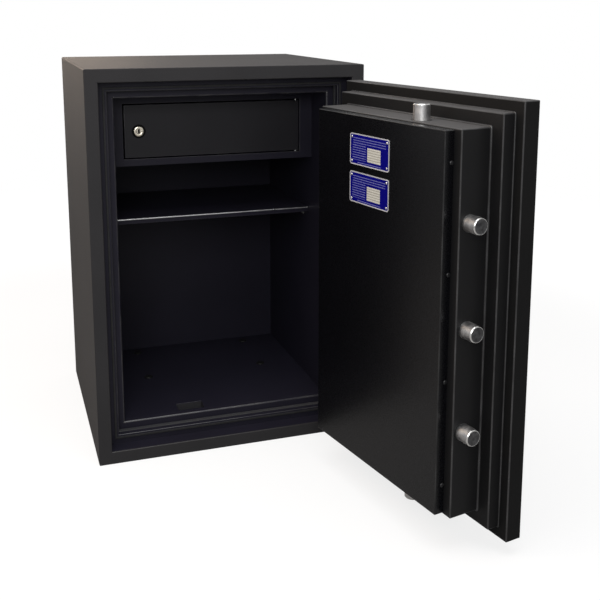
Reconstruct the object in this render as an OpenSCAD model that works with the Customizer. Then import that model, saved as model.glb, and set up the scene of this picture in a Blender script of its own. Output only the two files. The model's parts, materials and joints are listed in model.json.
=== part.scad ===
// Free-standing fire-resistant safe with a stepped door, rack-and-pinion boltwork, shelf and locker.
// X runs to the right and Y to the back; Z = 0 is the surface that the cabinet stands on.
// The door's pieces are drawn shut and then swung open about the hinge pins.

/* [Cabinet] */
// Outside width of the cabinet
cabinet_w = 625; // [600:5:680]
// Outside depth of the cabinet
cabinet_d = 575; // [540:5:640]
// Outside height of the cabinet
cabinet_h = 880; // [840:5:960]
// Width of the front lip round the door opening
lip_w = 29; // [26:1:33]
// Distance from the outside to the inner face of the liner, at the sides, roof and floor
wall = 68; // [64:1:72]
// Distance from the outside to the inner face of the liner at the back
back_wall = 50; // [40:1:70]
// Thickness of the outer steel sheet
shell_t = 3; // [2:0.5:4]
// Thickness of the liner and rebate sheet
liner_t = 2; // [1:0.5:3]
// Radius of the cabinet's folded outer edges
fold_r = 4; // [3:0.5:6]
// Diameter of the floor anchor holes in the base sheet
anchor_d = 14; // [10:1:16]
// Distance between the left and right anchor holes
anchor_x = 300; // [240:5:340]
// Distance between the front and back anchor holes
anchor_y = 180; // [140:5:200]
// Distance of the back anchor holes from the liner's back
anchor_back = 35; // [30:1:80]
// Radius of the jamb's innermost bend
bend_r = 4; // [3:0.5:4]

/* [Door] */
// Angle at which the door stands open
door_open = 101; // [80:1:110]
// Gap round the door's outer plate
door_gap = 3; // [2.5:0.5:4]
// Thickness of the door's outer plate
plate_t = 35; // [30:1:40]
// Thickness of the second step of the door
step_t = 26; // [22:1:30]
// How far the second step stands in from the outer plate's edges
step_in = 22; // [20:1:26]
// Gap round the second step
step_gap = 4; // [3.5:0.5:5]
// Space behind the door's steps when it is shut
seal_gap = 4; // [3.5:0.5:6]
// Depth of the boltwork case
case_t = 65; // [65:1:72]
// Gap between the boltwork case and the liner at the top, bottom and hinge side
case_gap = 12; // [11:1:18]
// Gap between the boltwork case and the liner at the free side
case_free_gap = 16; // [15:1:22]
// Thickness of the door's sheets
door_sheet = 3; // [2:0.5:4]
// Height of the raised boltwork cover
cover_t = 20; // [16:1:24]
// How far the cover stands in from the sides of the case
cover_in = 20; // [18:1:26]
// How far the cover stands in from the top and bottom of the case
cover_end_in = 3; // [2:0.5:6]

/* [Hinges] */
// Distance of the hinge axis from the edge of the door opening
hinge_out = 16; // [15:0.5:17]
// Distance of the hinge axis in front of the cabinet
hinge_front = 18; // [17:0.5:20]
// Radius of the hinge knuckles
knuckle_r = 11; // [9:0.5:11]
// Diameter of the hinge pins
hinge_pin_d = 10; // [8:1:12]
// Height of each hinge
hinge_h = 90; // [70:2:110]
// Height of the middle of the lower hinge, and of the upper hinge below the roof
hinge_z = 180; // [150:5:220]
// Thickness of the hinge leaves
leaf_t = 6.5; // [5:0.5:6.5]

/* [Boltwork] */
// Diameter of the bolts
bolt_d = 32; // [28:1:34]
// Distance of the bolts' axes from the floor of the case
bolt_lift = 42; // [40:0.5:42.5]
// Height between neighbouring side bolts
bolt_pitch = 194; // [170:2:210]
// How far a drawn bolt still stands out of the case
bolt_proud = 1; // [0.5:0.5:1.5]
// Length of each top and bottom bolt
end_bolt_l = 88; // [80:1:100]
// Distance of the handle's axis from the door's free edge
handle_in = 196; // [180:2:215]
// Module of the rack and pinion teeth
tooth_m = 1.9; // [1.9:0.05:2]
// Teeth on the pinion, a multiple of four
pinion_z = 20; // [20:4:20]
// Turn of the handle from thrown to drawn
handle_turn = 90; // [60:1:90]
// Play between meshing teeth
backlash = 0.6; // [0.4:0.1:0.8]
// Thickness of the racks
rack_t = 10; // [8:0.5:10]
// Diameter of the handle's spindle
spindle_d = 16; // [12:1:18]
// Radial clearance of a piece that slides or turns in a bore
run_gap = 0.05; // [0.02:0.01:0.1]
// Clearance between flat moving faces
slide_gap = 0.5; // [0.3:0.1:0.8]
// Clearance between a loose piece and the sheet that it stands against
seat_gap = 0.3; // [0.2:0.1:0.4]

/* [Key lock] */
// Width of the lock case
lock_w = 88; // [70:2:100]
// Height of the lock case
lock_h = 60; // [50:2:70]
// Thickness of the lock case
lock_t = 28; // [24:1:34]
// Height of the lock above the handle's axis
lock_up = 92; // [84:2:104]
// Travel of the lock's bolt
lock_throw = 12; // [8:1:12]

// Diameter of the key cylinder
cylinder_d = 26; // [22:1:28]
// Turn of the key from locked to unlocked
key_turn = 90; // [90:10:90]

/* [Handle] */
// Length of the lever from the spindle's axis
lever_l = 128; // [100:2:150]
// Distance of the lever's outer face from the door
lever_out = 52; // [46:1:60]
// Diameter of the handle's rose
rose_d = 58; // [50:1:70]

/* [Shelf] */
// Height of the shelf's top
shelf_z = 515; // [380:5:540]
// Distance of the shelf's front edge behind the cabinet's front
shelf_y = 193; // [170:1:240]
// Height of the shelf's folded front edge
shelf_fold = 12; // [10:1:20]
// Thickness of the shelf's sheet
shelf_t = 1.5; // [1:0.5:2]

/* [Locker] */
// Height of the locker
locker_h = 166; // [150:1:180]
// Distance of the locker's face behind the cabinet's front
locker_y = 165; // [160:1:190]
// Width of the locker frame's uprights
stile_w = 31; // [28:1:40]
// Height of the locker frame's top rail
top_rail = 21.5; // [20:0.5:30]
// Height of the locker frame's bottom rail
bottom_rail = 16; // [14:1:24]
// Gap round the locker door
locker_gap = 3; // [3:0.5:4]
// Depth of the locker door's folded edges
locker_door_t = 15; // [12:1:18]
// Thickness of the locker's sheets
locker_sheet = 2; // [1.5:0.5:2]
// Distance of the locker's hinge axis from the door's edge and face
locker_axis = 6; // [5:0.5:6]
// Distance of the cam lock's axis from the locker door's free edge
cam_in = 33; // [28:1:45]
// Diameter of the cam lock's face
cam_face_d = 25; // [20:1:28]

/* [Plates] */
// Width of each blue plate
label_w = 134; // [120:2:160]
// Height of each blue plate
label_h = 62; // [56:1:72]
// Height of the space between the plates
label_gap = 14; // [8:1:24]
// Distance of the plates from the door's hinge edge
label_in = 192; // [170:1:200]
// Distance of the upper plate below the top of the cover
label_down = 36; // [25:1:60]

/* [Hidden] */
$fn = 64;

steel_grey = "dimgray";
inner_black = [0.16, 0.16, 0.18];
bright = "silver";
brass = "goldenrod";

// Cabinet
x_side = cabinet_w / 2;
y_front = -cabinet_d / 2;
y_rear = cabinet_d / 2;
room_x = x_side - wall;
room_top = cabinet_h - wall;
room_rear = y_rear - back_wall;
step_lip = lip_w + door_gap + step_in - step_gap;
rebate_1 = plate_t + seal_gap;
rebate_2 = plate_t + step_t + seal_gap;
anchor_mid_y = room_rear - anchor_back - anchor_y / 2;
frame_flange = 12;
smoke_seal_w = 5;
smoke_seal_t = 2;
fire_seal_w = 12;
fire_seal_t = 2;

// Door, drawn shut
plate_x = x_side - lip_w - door_gap;
plate_z0 = lip_w + door_gap;
plate_z1 = cabinet_h - lip_w - door_gap;
step_v = plate_t + step_t;
case_v = step_v + case_t;
cover_v = case_v + cover_t;
case_x0 = -room_x + case_free_gap;
case_x1 = room_x - case_gap;
case_z0 = wall + case_gap;
case_z1 = room_top - case_gap;
door_fold_r = door_sheet - 0.5;
cover_sheet = 2;
upstand_h = 10;
screw_d = 4;
screw_end = 60;
screws_a_side = 4;
door_leaf_w = 56;
bush_d = spindle_d + 8;
label_t = 1;
label_x = plate_x - label_in - label_w / 2;
label_top = case_z1 - cover_end_in - label_down;
label_zs = [label_top - label_h / 2, label_top - label_h / 2 - label_h - label_gap];
hinge_x = x_side - lip_w + hinge_out;
hinge_y = y_front - hinge_front;
hinge_zs = [hinge_z, cabinet_h - hinge_z];
mid_z = cabinet_h / 2;

// Boltwork
axis_x = -plate_x + handle_in;
bolt_v = step_v + bolt_lift;
pitch_r = tooth_m * pinion_z / 2;
throw = pitch_r * handle_turn * PI / 180;
tip_r = pitch_r + tooth_m;
root_r = pitch_r - 1.25 * tooth_m;
rack_deep = 1.25 * tooth_m;
rack_bar = 14;
rod_v = step_v + 8;
arm_v = rod_v + rack_t + 3;
pinion_v0 = rod_v - 1;
pinion_v1 = arm_v + rack_t + 1;
rack_l = throw + 6 * PI * tooth_m;
side_bolt_zs = [mid_z - bolt_pitch, mid_z, mid_z + bolt_pitch];
guide_l = 22;
carriage_x = case_x0 + door_sheet + guide_l + throw + 4;
carriage_t = 8;
carriage_h = 2 * bolt_pitch + bolt_d + 24;
rod_w = rack_bar + rack_deep;
side_reach = throw + bolt_proud;
side_bolt_l = carriage_x - (case_x0 - side_reach) - throw;
stud_d = 12;
nut_d = 22;
nut_h = 10;
arm_x1 = axis_x + 2 * PI * tooth_m + 4;
rod_top = case_z1 + side_reach - end_bolt_l;
rod_foot = 12;
guide_far = 150;
lever_w = 24;
lever_t = 14;
rose_t = 8;

// Bolt keepers; the cups are deeper than the bolts reach
keeper_gap = 3;
keeper_deep = 2;
keeper_t = 1.5;
side_cup_deep = side_reach - (room_x + case_x0) + keeper_deep;
end_cup_deep = side_reach - (room_top - case_z1) + keeper_deep;
cup_w = bolt_d + 2 * keeper_gap;
end_cup_w = bolt_d + 30;

// Key lock
lock_x0 = axis_x + pitch_r + rod_w + 6;
lock_z = mid_z + lock_up;
lock_bolt_h = 18;
lock_bolt_t = 7;
key_x = lock_x0 + lock_w / 2;
crank_r = lock_throw / 2 / sin(key_turn / 2);
crank_pin_d = 6;
crank_play = 0.5;
crank_t = 5;
crank_disc_d = 40;
crank_well_d = crank_disc_d + 4;
crank_v = step_v + 1.5;
plug_d = 14;
cylinder_head_d = cylinder_d + 12;
cylinder_head_t = 4;

// Shelf and locker
locker_z0 = room_top - locker_h;
locker_face = y_front + locker_y;
locker_x = room_x - seat_gap;
locker_top = room_top - seat_gap;
locker_open_x = locker_x - stile_w;
locker_open_z0 = locker_z0 + bottom_rail;
locker_open_z1 = locker_top - top_rail;
locker_door_x = locker_open_x - locker_gap;
locker_hinge_x = locker_door_x - locker_axis;
locker_hinge_y = locker_face + locker_axis;
locker_mid_z = (locker_open_z0 + locker_open_z1) / 2;
locker_pin_d = 6;
cam_x = -locker_door_x + cam_in;
cam_barrel_d = 18;
cam_plug_d = 12;
cam_barrel_l = 16;
cam_head_t = 3;
cam_v1 = locker_face + cam_barrel_l;
cam_w = 14;
cam_t = 3;
cam_reach = cam_in + locker_gap + 8;

// Shelf brackets
bracket_w = 24;
bracket_t = 2;
bracket_l = 30;
bracket_h = 22;
shelf_x = room_x - seat_gap;
shelf_rear = room_rear - 4;

// A box between two corners
module block(x0, x1, y0, y1, z0, z1) {
    translate([x0, y0, z0]) cube([x1 - x0, y1 - y0, z1 - z0]);
}

// A rectangle with round corners, made of squares and circles
module round_rect(w, h, r) {
    square([w - 2 * r, h], center = true);
    square([w, h - 2 * r], center = true);
    for (sx = [-1, 1], sy = [-1, 1]) {
        translate([sx * (w / 2 - r), sy * (h / 2 - r)]) circle(r);
    }
}

// A flat plate in the X-Z plane with round corners; its face lies at y0 and it is t thick
module upright_plate(w, h, r, x, y0, t, z) {
    translate([x, y0 + t, z]) rotate([90, 0, 0]) linear_extrude(t) round_rect(w, h, r);
}

// A cylinder along Y from y0 to y1
module rod_y(d, x, z, y0, y1) {
    translate([x, y0, z]) rotate([-90, 0, 0]) cylinder(d = d, h = y1 - y0);
}

// A rectangular ring round the cabinet's opening, from one inset to a deeper one
module lip_ring(out, into, v0, v1) {
    difference() {
        block(-x_side + out, x_side - out, y_front + v0, y_front + v1, out, cabinet_h - out);
        block(-x_side + into, x_side - into, y_front + v0 - 1, y_front + v1 + 1, into, cabinet_h - into);
    }
}

// The block that fills the cabinet inside a given inset
module lip_block(inset, y0, y1) {
    block(-x_side + inset, x_side - inset, y0, y1, inset, cabinet_h - inset);
}

// What is cut from a square edge of length l along Z to leave it with radius r
module edge_cut(l, r) {
    difference() {
        translate([-1, -1, -1]) cube([r + 1, r + 1, l + 2]);
        translate([r, r, -2]) cylinder(r = r, h = l + 4);
    }
}

// A block whose four edges along Y are rounded
module soft_block(x0, x1, y0, y1, z0, z1, r) {
    translate([(x0 + x1) / 2, y1, (z0 + z1) / 2]) rotate([90, 0, 0])
        linear_extrude(y1 - y0) round_rect(x1 - x0, z1 - z0, r);
}

// What is cut from a block to round the four edges of its front, or of its back
module front_edges(x0, x1, z0, z1, y, r) {
    translate([x0, y, z0]) edge_cut(z1 - z0, r);
    translate([x1, y, z0]) mirror([1, 0, 0]) edge_cut(z1 - z0, r);
    translate([x0, y, z0]) rotate([0, 90, 0]) mirror([1, 0, 0]) edge_cut(x1 - x0, r);
    translate([x0, y, z1]) rotate([0, 90, 0]) edge_cut(x1 - x0, r);
}

module back_edges(x0, x1, z0, z1, y, r) {
    translate([0, y, 0]) mirror([0, 1, 0]) front_edges(x0, x1, z0, z1, 0, r);
}

// Puts a piece of the shut door where it stands when the door is open
module swung() {
    translate([hinge_x, hinge_y, 0])
        rotate([0, 0, door_open])
            translate([-hinge_x, -hinge_y, 0]) children();
}

// Cabinet: one folded sheet makes the sides, roof and base, and turns in at the front as the lip
module outer_wrapper() color(steel_grey) difference() {
    translate([0, y_rear - shell_t, mid_z]) rotate([90, 0, 0])
        linear_extrude(cabinet_d - shell_t) round_rect(cabinet_w, cabinet_h, fold_r);
    lip_block(shell_t, y_front + shell_t, y_rear + 1);
    lip_block(lip_w, y_front - 1, y_front + shell_t + 1);
    front_edges(-x_side, x_side, 0, cabinet_h, y_front, shell_t - 1);
    jamb_bend(lip_w, 0, shell_t - 1);
    for (p = anchor_points()) translate([p[0], p[1], -1]) cylinder(d = anchor_d, h = shell_t + 2);
}

// The four anchor hole centres
function anchor_points() = [
    for (sx = [-1, 1], sy = [-1, 1]) [sx * anchor_x / 2, anchor_mid_y + sy * anchor_y / 2]
];

module back_panel() color(steel_grey)
    translate([0, y_rear, mid_z]) rotate([90, 0, 0])
        linear_extrude(shell_t) round_rect(cabinet_w, cabinet_h, fold_r);

// The stepped steel jamb that the door closes into: two folded frames, one behind the other
module front_jamb() color(inner_black) difference() {
    union() {
        lip_ring(lip_w - liner_t, lip_w, shell_t, rebate_1);
        lip_ring(lip_w - liner_t, step_lip, rebate_1, rebate_1 + liner_t);
    }
    jamb_bend(step_lip, rebate_1, liner_t - 0.5);
}

module rear_jamb() color(inner_black) difference() {
    union() {
        lip_ring(step_lip - liner_t, step_lip, rebate_1 + liner_t, rebate_2);
        lip_ring(step_lip - liner_t, wall, rebate_2, rebate_2 + liner_t);
        lip_ring(wall - liner_t, wall, rebate_2, rebate_2 + frame_flange);
    }
    jamb_bend(wall, rebate_2, bend_r);
}

// What is cut from the front edges of the door opening at a given inset to leave them with radius r
module jamb_bend(inset, v, r) {
    opening_bend(-x_side + inset, x_side - inset, inset, cabinet_h - inset, y_front + v, r);
}

// The same for any opening in a face at y
module opening_bend(x0, x1, z0, z1, y, r) {
    translate([x0, y, z0]) mirror([1, 0, 0]) bend_cut(z1 - z0, r);
    translate([x1, y, z0]) bend_cut(z1 - z0, r);
    translate([x0, y, z0]) rotate([0, 90, 0]) bend_cut(x1 - x0, r);
    translate([x0, y, z1]) rotate([0, 90, 0]) mirror([1, 0, 0]) bend_cut(x1 - x0, r);
}

module bend_cut(l, r) {
    difference() {
        translate([0, -1, -r]) cube([r, r + 1, l + 2 * r]);
        translate([r, r, -r - 1]) cylinder(r = r, h = l + 2 * r + 2);
    }
}

// Thin seal on the first step's face, pressed by the back of the outer plate
module smoke_seal() color([0.3, 0.3, 0.32])
    lip_ring(step_lip - 9, step_lip - 9 + smoke_seal_w, rebate_1 - smoke_seal_t, rebate_1);

// Swelling fire seal that lies on the second step
module fire_seal() color([0.1, 0.1, 0.11])
    lip_ring(step_lip, step_lip + fire_seal_t, rebate_2 - 2 - fire_seal_w, rebate_2 - 2);

// Openings that the bolt keepers stand in, cut through the liner and the fill
module keeper_cuts(grow) {
    for (z = side_bolt_zs) translate([-room_x, y_front + bolt_v, z]) side_cup_space(grow);
    translate([axis_x, y_front + bolt_v, room_top]) end_cup_space(grow);
    translate([axis_x, y_front + bolt_v, wall]) mirror([0, 0, 1]) end_cup_space(grow);
}

module side_cup_space(grow) {
    translate([-side_cup_deep - grow, -cup_w / 2 - grow, -cup_w / 2 - grow])
        cube([side_cup_deep + grow + liner_t + 1, cup_w + 2 * grow, cup_w + 2 * grow]);
}

module end_cup_space(grow) {
    translate([-end_cup_w / 2 - grow, -cup_w / 2 - grow, -liner_t - 1])
        cube([end_cup_w + 2 * grow, cup_w + 2 * grow, end_cup_deep + grow + liner_t + 1]);
}

module wall_fill() color("gainsboro") difference() {
    lip_block(shell_t, y_front + shell_t, y_rear - shell_t);
    lip_block(lip_w - liner_t, y_front, y_front + rebate_1);
    lip_block(step_lip - liner_t, y_front, y_front + rebate_2);
    lip_block(lip_w - liner_t, y_front + rebate_1 - 1, y_front + rebate_1 + liner_t);
    lip_block(step_lip - liner_t, y_front + rebate_2 - 1, y_front + rebate_2 + liner_t);
    lip_block(wall - liner_t, y_front + rebate_2, room_rear + liner_t);
    keeper_cuts(keeper_t);
    for (p = anchor_points()) translate([p[0], p[1], 0]) cylinder(d = anchor_d + 4, h = wall);
}

// Inner liner: five sheets welded along their edges, with openings for the thrown bolts
module liner_side() block(room_x, room_x + liner_t, y_front + rebate_2 + frame_flange, room_rear,
    wall - liner_t, room_top + liner_t);

module liner_left() color(inner_black) difference() {
    mirror([1, 0, 0]) liner_side();
    keeper_cuts(0);
}

module liner_right() color(inner_black) liner_side();

module liner_roof() color(inner_black) difference() {
    block(-room_x, room_x, y_front + rebate_2 + frame_flange, room_rear, room_top, room_top + liner_t);
    keeper_cuts(0);
}

module liner_floor() color(inner_black) difference() {
    block(-room_x, room_x, y_front + rebate_2 + frame_flange, room_rear, wall - liner_t, wall);
    keeper_cuts(0);
    for (p = anchor_points()) translate([p[0], p[1], wall - liner_t - 1]) cylinder(d = anchor_d + 4, h = liner_t + 2);
}

module liner_back() color(inner_black) lip_block(wall - liner_t, room_rear, room_rear + liner_t);

module side_bolt_keepers() color(inner_black)
    for (z = side_bolt_zs) translate([-room_x - liner_t, y_front + bolt_v, z]) difference() {
        translate([liner_t, 0, 0]) intersection() {
            side_cup_space(keeper_t);
            translate([-side_cup_deep - 9, -cup_w, -cup_w]) cube([side_cup_deep + 9 - liner_t, 2 * cup_w, 2 * cup_w]);
        }
        translate([liner_t, 0, 0]) side_cup_space(0);
    }

// A sheet cup behind the roof or the floor of the liner
module end_cup() {
    difference() {
        intersection() {
            end_cup_space(keeper_t);
            translate([-end_cup_w, -end_cup_w, liner_t]) cube([2 * end_cup_w, 2 * end_cup_w, end_cup_deep + 9]);
        }
        end_cup_space(0);
    }
}

module end_bolt_keepers() color(inner_black) {
    translate([axis_x, y_front + bolt_v, room_top]) end_cup();
    translate([axis_x, y_front + bolt_v, wall]) mirror([0, 0, 1]) end_cup();
}

// Caps that close the unused anchor holes in the floor
module anchor_plugs() color("darkgray")
    for (p = anchor_points()) translate([p[0], p[1], wall]) {
        cylinder(d = anchor_d + 8, h = 1.5);
        translate([0, 0, 1.5]) cylinder(d1 = anchor_d + 8, d2 = anchor_d + 4, h = 1.5);
        translate([0, 0, -8]) cylinder(d = anchor_d + 3.4, h = 8);
    }

// Hinge halves fixed to the cabinet's lip: a leaf with a knuckle at its top and bottom
module frame_hinges() color(steel_grey) for (z = hinge_zs) translate([hinge_x, hinge_y, z]) {
    leaf_y = hinge_front - leaf_t;
    difference() {
        union() {
            translate([-hinge_out + 2, leaf_y, -hinge_h / 2]) cube([lip_w - 4, leaf_t, hinge_h]);
            for (s = [0, 1]) mirror([0, 0, s]) translate([0, 0, hinge_h / 6 + slide_gap / 2]) {
                cylinder(r = knuckle_r, h = hinge_h / 3 - slide_gap / 2);
                cube([knuckle_r, leaf_y, hinge_h / 3 - slide_gap / 2]);
            }
        }
        translate([0, 0, -hinge_h]) cylinder(d = hinge_pin_d + 2 * run_gap, h = 2 * hinge_h);
    }
}

// Pins with a round head that stands on the upper knuckle
module hinge_pins() color(bright) for (z = hinge_zs) translate([hinge_x, hinge_y, z - hinge_h / 2 - 2]) {
    cylinder(d = hinge_pin_d, h = hinge_h + 2);
    translate([0, 0, hinge_h + 2]) cylinder(d = hinge_pin_d + 8, h = 3);
    translate([0, 0, hinge_h + 5]) cylinder(d1 = hinge_pin_d + 8, d2 = hinge_pin_d + 2, h = 2);
}

// Hinge halves fixed to the door's face: a leaf and a cranked arm that ends in the middle knuckle
module door_hinges() color(steel_grey) swung() for (z = hinge_zs) translate([hinge_x, hinge_y, z]) {
    mid_h = hinge_h / 3 - slide_gap;
    leaf_x = -hinge_out - door_gap - 2;
    difference() {
        union() {
            translate([leaf_x - door_leaf_w, hinge_front - leaf_t, -hinge_h / 2])
                cube([door_leaf_w, leaf_t, hinge_h]);
            translate([0, 0, -mid_h / 2]) cylinder(r = knuckle_r, h = mid_h);
            translate([0, 0, -mid_h / 2]) linear_extrude(mid_h) polygon([
                [0, -knuckle_r / 2], [0, knuckle_r / 2], [leaf_x, hinge_front - leaf_t + 1],
                [leaf_x - 30, hinge_front - leaf_t + 1], [leaf_x - 6, -knuckle_r / 2]
            ]);
        }
        translate([0, 0, -hinge_h]) cylinder(d = hinge_pin_d + 2 * run_gap, h = 2 * hinge_h);
    }
}

// Shelf: a folded sheet that lies on four angle brackets
module shelf() color(inner_black) {
    difference() {
        union() {
            block(-shelf_x, shelf_x, y_front + shelf_y, shelf_rear, shelf_z - shelf_t, shelf_z);
            block(-shelf_x, shelf_x, y_front + shelf_y, y_front + shelf_y + shelf_t, shelf_z - shelf_fold, shelf_z);
        }
        translate([-shelf_x, y_front + shelf_y, shelf_z]) rotate([0, 90, 0]) edge_cut(2 * shelf_x, shelf_t);
    }
    // the back fold and the front fold's return stay clear of the brackets as the shelf slides out
    inner_x = shelf_x - bracket_w - 4;
    block(-inner_x, inner_x, shelf_rear - shelf_t, shelf_rear, shelf_z - shelf_fold, shelf_z);
    block(-inner_x, inner_x, y_front + shelf_y, y_front + shelf_y + shelf_fold,
        shelf_z - shelf_fold, shelf_z - shelf_fold + shelf_t);
}

module shelf_brackets() color(bright)
    for (s = [0, 1], y = [y_front + shelf_y + 30, shelf_rear - 30 - bracket_l]) mirror([s, 0, 0]) {
        block(-room_x, -room_x + bracket_w, y, y + bracket_l, shelf_z - shelf_t - bracket_t, shelf_z - shelf_t);
        block(-room_x, -room_x + bracket_t, y, y + bracket_l, shelf_z - shelf_t - bracket_h, shelf_z - shelf_t);
    }

// Locker: a sheet box under the roof with a framed front
module locker_case() color(inner_black) difference() {
    block(-locker_x, locker_x, locker_face + locker_sheet, room_rear - seat_gap, locker_z0, locker_top);
    block(-locker_x + locker_sheet, locker_x - locker_sheet, locker_face, room_rear - seat_gap - locker_sheet,
        locker_z0 + locker_sheet, locker_top - locker_sheet);
}

module locker_frame() color(inner_black) difference() {
    union() {
        block(-locker_x, locker_x, locker_face, locker_face + locker_sheet, locker_z0, locker_top);
        block(-locker_open_x - locker_sheet, locker_open_x + locker_sheet, locker_face, locker_face + locker_door_t,
            locker_open_z0 - locker_sheet, locker_open_z1 + locker_sheet);
    }
    block(-locker_open_x, locker_open_x, locker_face - 1, locker_face + locker_door_t + 1,
        locker_open_z0, locker_open_z1);
    opening_bend(-locker_open_x, locker_open_x, locker_open_z0, locker_open_z1, locker_face, locker_sheet / 2);
    translate([locker_hinge_x, locker_hinge_y, locker_open_z0 - 10])
        cylinder(d = locker_pin_d, h = locker_open_z1 - locker_open_z0 + 20);
}

// Two pins that the locker door turns on
module locker_pins() color(bright) translate([locker_hinge_x, locker_hinge_y, 0]) {
    pin_l = locker_sheet + locker_gap + locker_sheet + 4;
    translate([0, 0, locker_open_z0 - locker_sheet]) cylinder(d = locker_pin_d, h = pin_l);
    translate([0, 0, locker_open_z1 + locker_sheet - pin_l]) cylinder(d = locker_pin_d, h = pin_l);
}

module locker_door() color(inner_black) difference() {
    z0 = locker_open_z0 + locker_gap;
    z1 = locker_open_z1 - locker_gap;
    soft_block(-locker_door_x, locker_door_x, locker_face, locker_face + locker_door_t, z0, z1, locker_sheet - 0.5);
    front_edges(-locker_door_x, locker_door_x, z0, z1, locker_face, locker_sheet - 0.5);
    block(-locker_door_x + locker_sheet, locker_door_x - locker_sheet, locker_face + locker_sheet,
        locker_face + locker_door_t + 1, z0 + locker_sheet, z1 - locker_sheet);
    translate([locker_hinge_x, locker_hinge_y, z0 - 5])
        cylinder(d = locker_pin_d + 2 * run_gap, h = z1 - z0 + 10);
    rod_y(cam_barrel_d + 0.4, cam_x, locker_mid_z, locker_face - 1, locker_face + locker_sheet + 1);
}

// Cam lock: a flanged body through the locker door, its nut, the plug that the key turns, and the cam
module locker_lock_body() color(bright) difference() {
    union() {
        rod_y(cam_barrel_d, cam_x, locker_mid_z, locker_face, cam_v1);
        translate([cam_x, locker_face - cam_head_t, locker_mid_z]) rotate([-90, 0, 0])
            cylinder(d1 = cam_face_d - 3, d2 = cam_face_d, h = cam_head_t);
    }
    rod_y(cam_plug_d + 2 * run_gap, cam_x, locker_mid_z, locker_face - cam_head_t - 1, cam_v1 + 1);
}

module locker_lock_nut() color(bright) difference() {
    rod_nut(27, 4, locker_face + locker_sheet);
    rod_y(cam_barrel_d + 0.04, cam_x, locker_mid_z, locker_face, cam_v1);
}

// A hexagon nut round the cam lock
module rod_nut(d, t, y) {
    translate([cam_x, y, locker_mid_z]) rotate([-90, 0, 0]) cylinder(d = d, h = t, $fn = 6);
}

module locker_lock_plug() color(bright) difference() {
    rod_y(cam_plug_d, cam_x, locker_mid_z, locker_face - cam_head_t, cam_v1 + 4);
    block(cam_x - 1, cam_x + 1, locker_face - cam_head_t - 1, locker_face - cam_head_t + 8,
        locker_mid_z - 4, locker_mid_z + 4);
}

// At rest the cam hangs down, clear of the frame; turned a quarter it reaches behind the frame
module locker_cam() color(bright) difference() {
    union() {
        rod_y(cam_w + 4, cam_x, locker_mid_z, cam_v1 + slide_gap, cam_v1 + slide_gap + cam_t);
        block(cam_x - cam_w / 2, cam_x + cam_w / 2, cam_v1 + slide_gap, cam_v1 + slide_gap + cam_t,
            locker_mid_z - cam_reach, locker_mid_z);
    }
    rod_y(cam_plug_d, cam_x, locker_mid_z, cam_v1, cam_v1 + 10);
}

// Door: a deep front pan and a smaller step pan, both filled, with the boltwork case behind them
module door_front_pan() color(steel_grey) swung() difference() {
    soft_block(-plate_x, plate_x, y_front, y_front + plate_t, plate_z0, plate_z1, door_fold_r);
    block(-plate_x + door_sheet, plate_x - door_sheet, y_front + door_sheet, y_front + plate_t - door_sheet,
        plate_z0 + door_sheet, plate_z1 - door_sheet);
    block(-plate_x + step_in, plate_x - step_in, y_front + plate_t - door_sheet - 1, y_front + plate_t + 1,
        plate_z0 + step_in, plate_z1 - step_in);
    front_edges(-plate_x, plate_x, plate_z0, plate_z1, y_front, door_fold_r);
    back_edges(-plate_x, plate_x, plate_z0, plate_z1, y_front + plate_t, door_fold_r);
    spindle_cut();
    cylinder_cut();
}

// The hole that the spindle's bush passes through
module spindle_cut() {
    rod_y(bush_d, axis_x, mid_z, y_front - 1, y_front + step_v + 1);
}

// The hole that the key cylinder passes through
module cylinder_cut() {
    rod_y(cylinder_d, key_x, lock_z, y_front - 1, y_front + step_v + 1);
}

module door_step_pan() color(steel_grey) swung() difference() {
    soft_block(-plate_x + step_in, plate_x - step_in, y_front + plate_t - door_sheet, y_front + step_v,
        plate_z0 + step_in, plate_z1 - step_in, door_fold_r);
    back_edges(-plate_x + step_in, plate_x - step_in, plate_z0 + step_in, plate_z1 - step_in,
        y_front + step_v, door_fold_r);
    block(-plate_x + step_in + door_sheet, plate_x - step_in - door_sheet, y_front + plate_t - door_sheet - 1,
        y_front + step_v - door_sheet, plate_z0 + step_in + door_sheet, plate_z1 - step_in - door_sheet);
    spindle_cut();
    cylinder_cut();
}

module door_fill() color("gainsboro") swung() difference() {
    union() {
        block(-plate_x + door_sheet, plate_x - door_sheet, y_front + door_sheet, y_front + plate_t - door_sheet,
            plate_z0 + door_sheet, plate_z1 - door_sheet);
        block(-plate_x + step_in + door_sheet, plate_x - step_in - door_sheet, y_front + plate_t - door_sheet,
            y_front + step_v - door_sheet, plate_z0 + step_in + door_sheet, plate_z1 - step_in - door_sheet);
    }
    spindle_cut();
    cylinder_cut();
}

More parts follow.
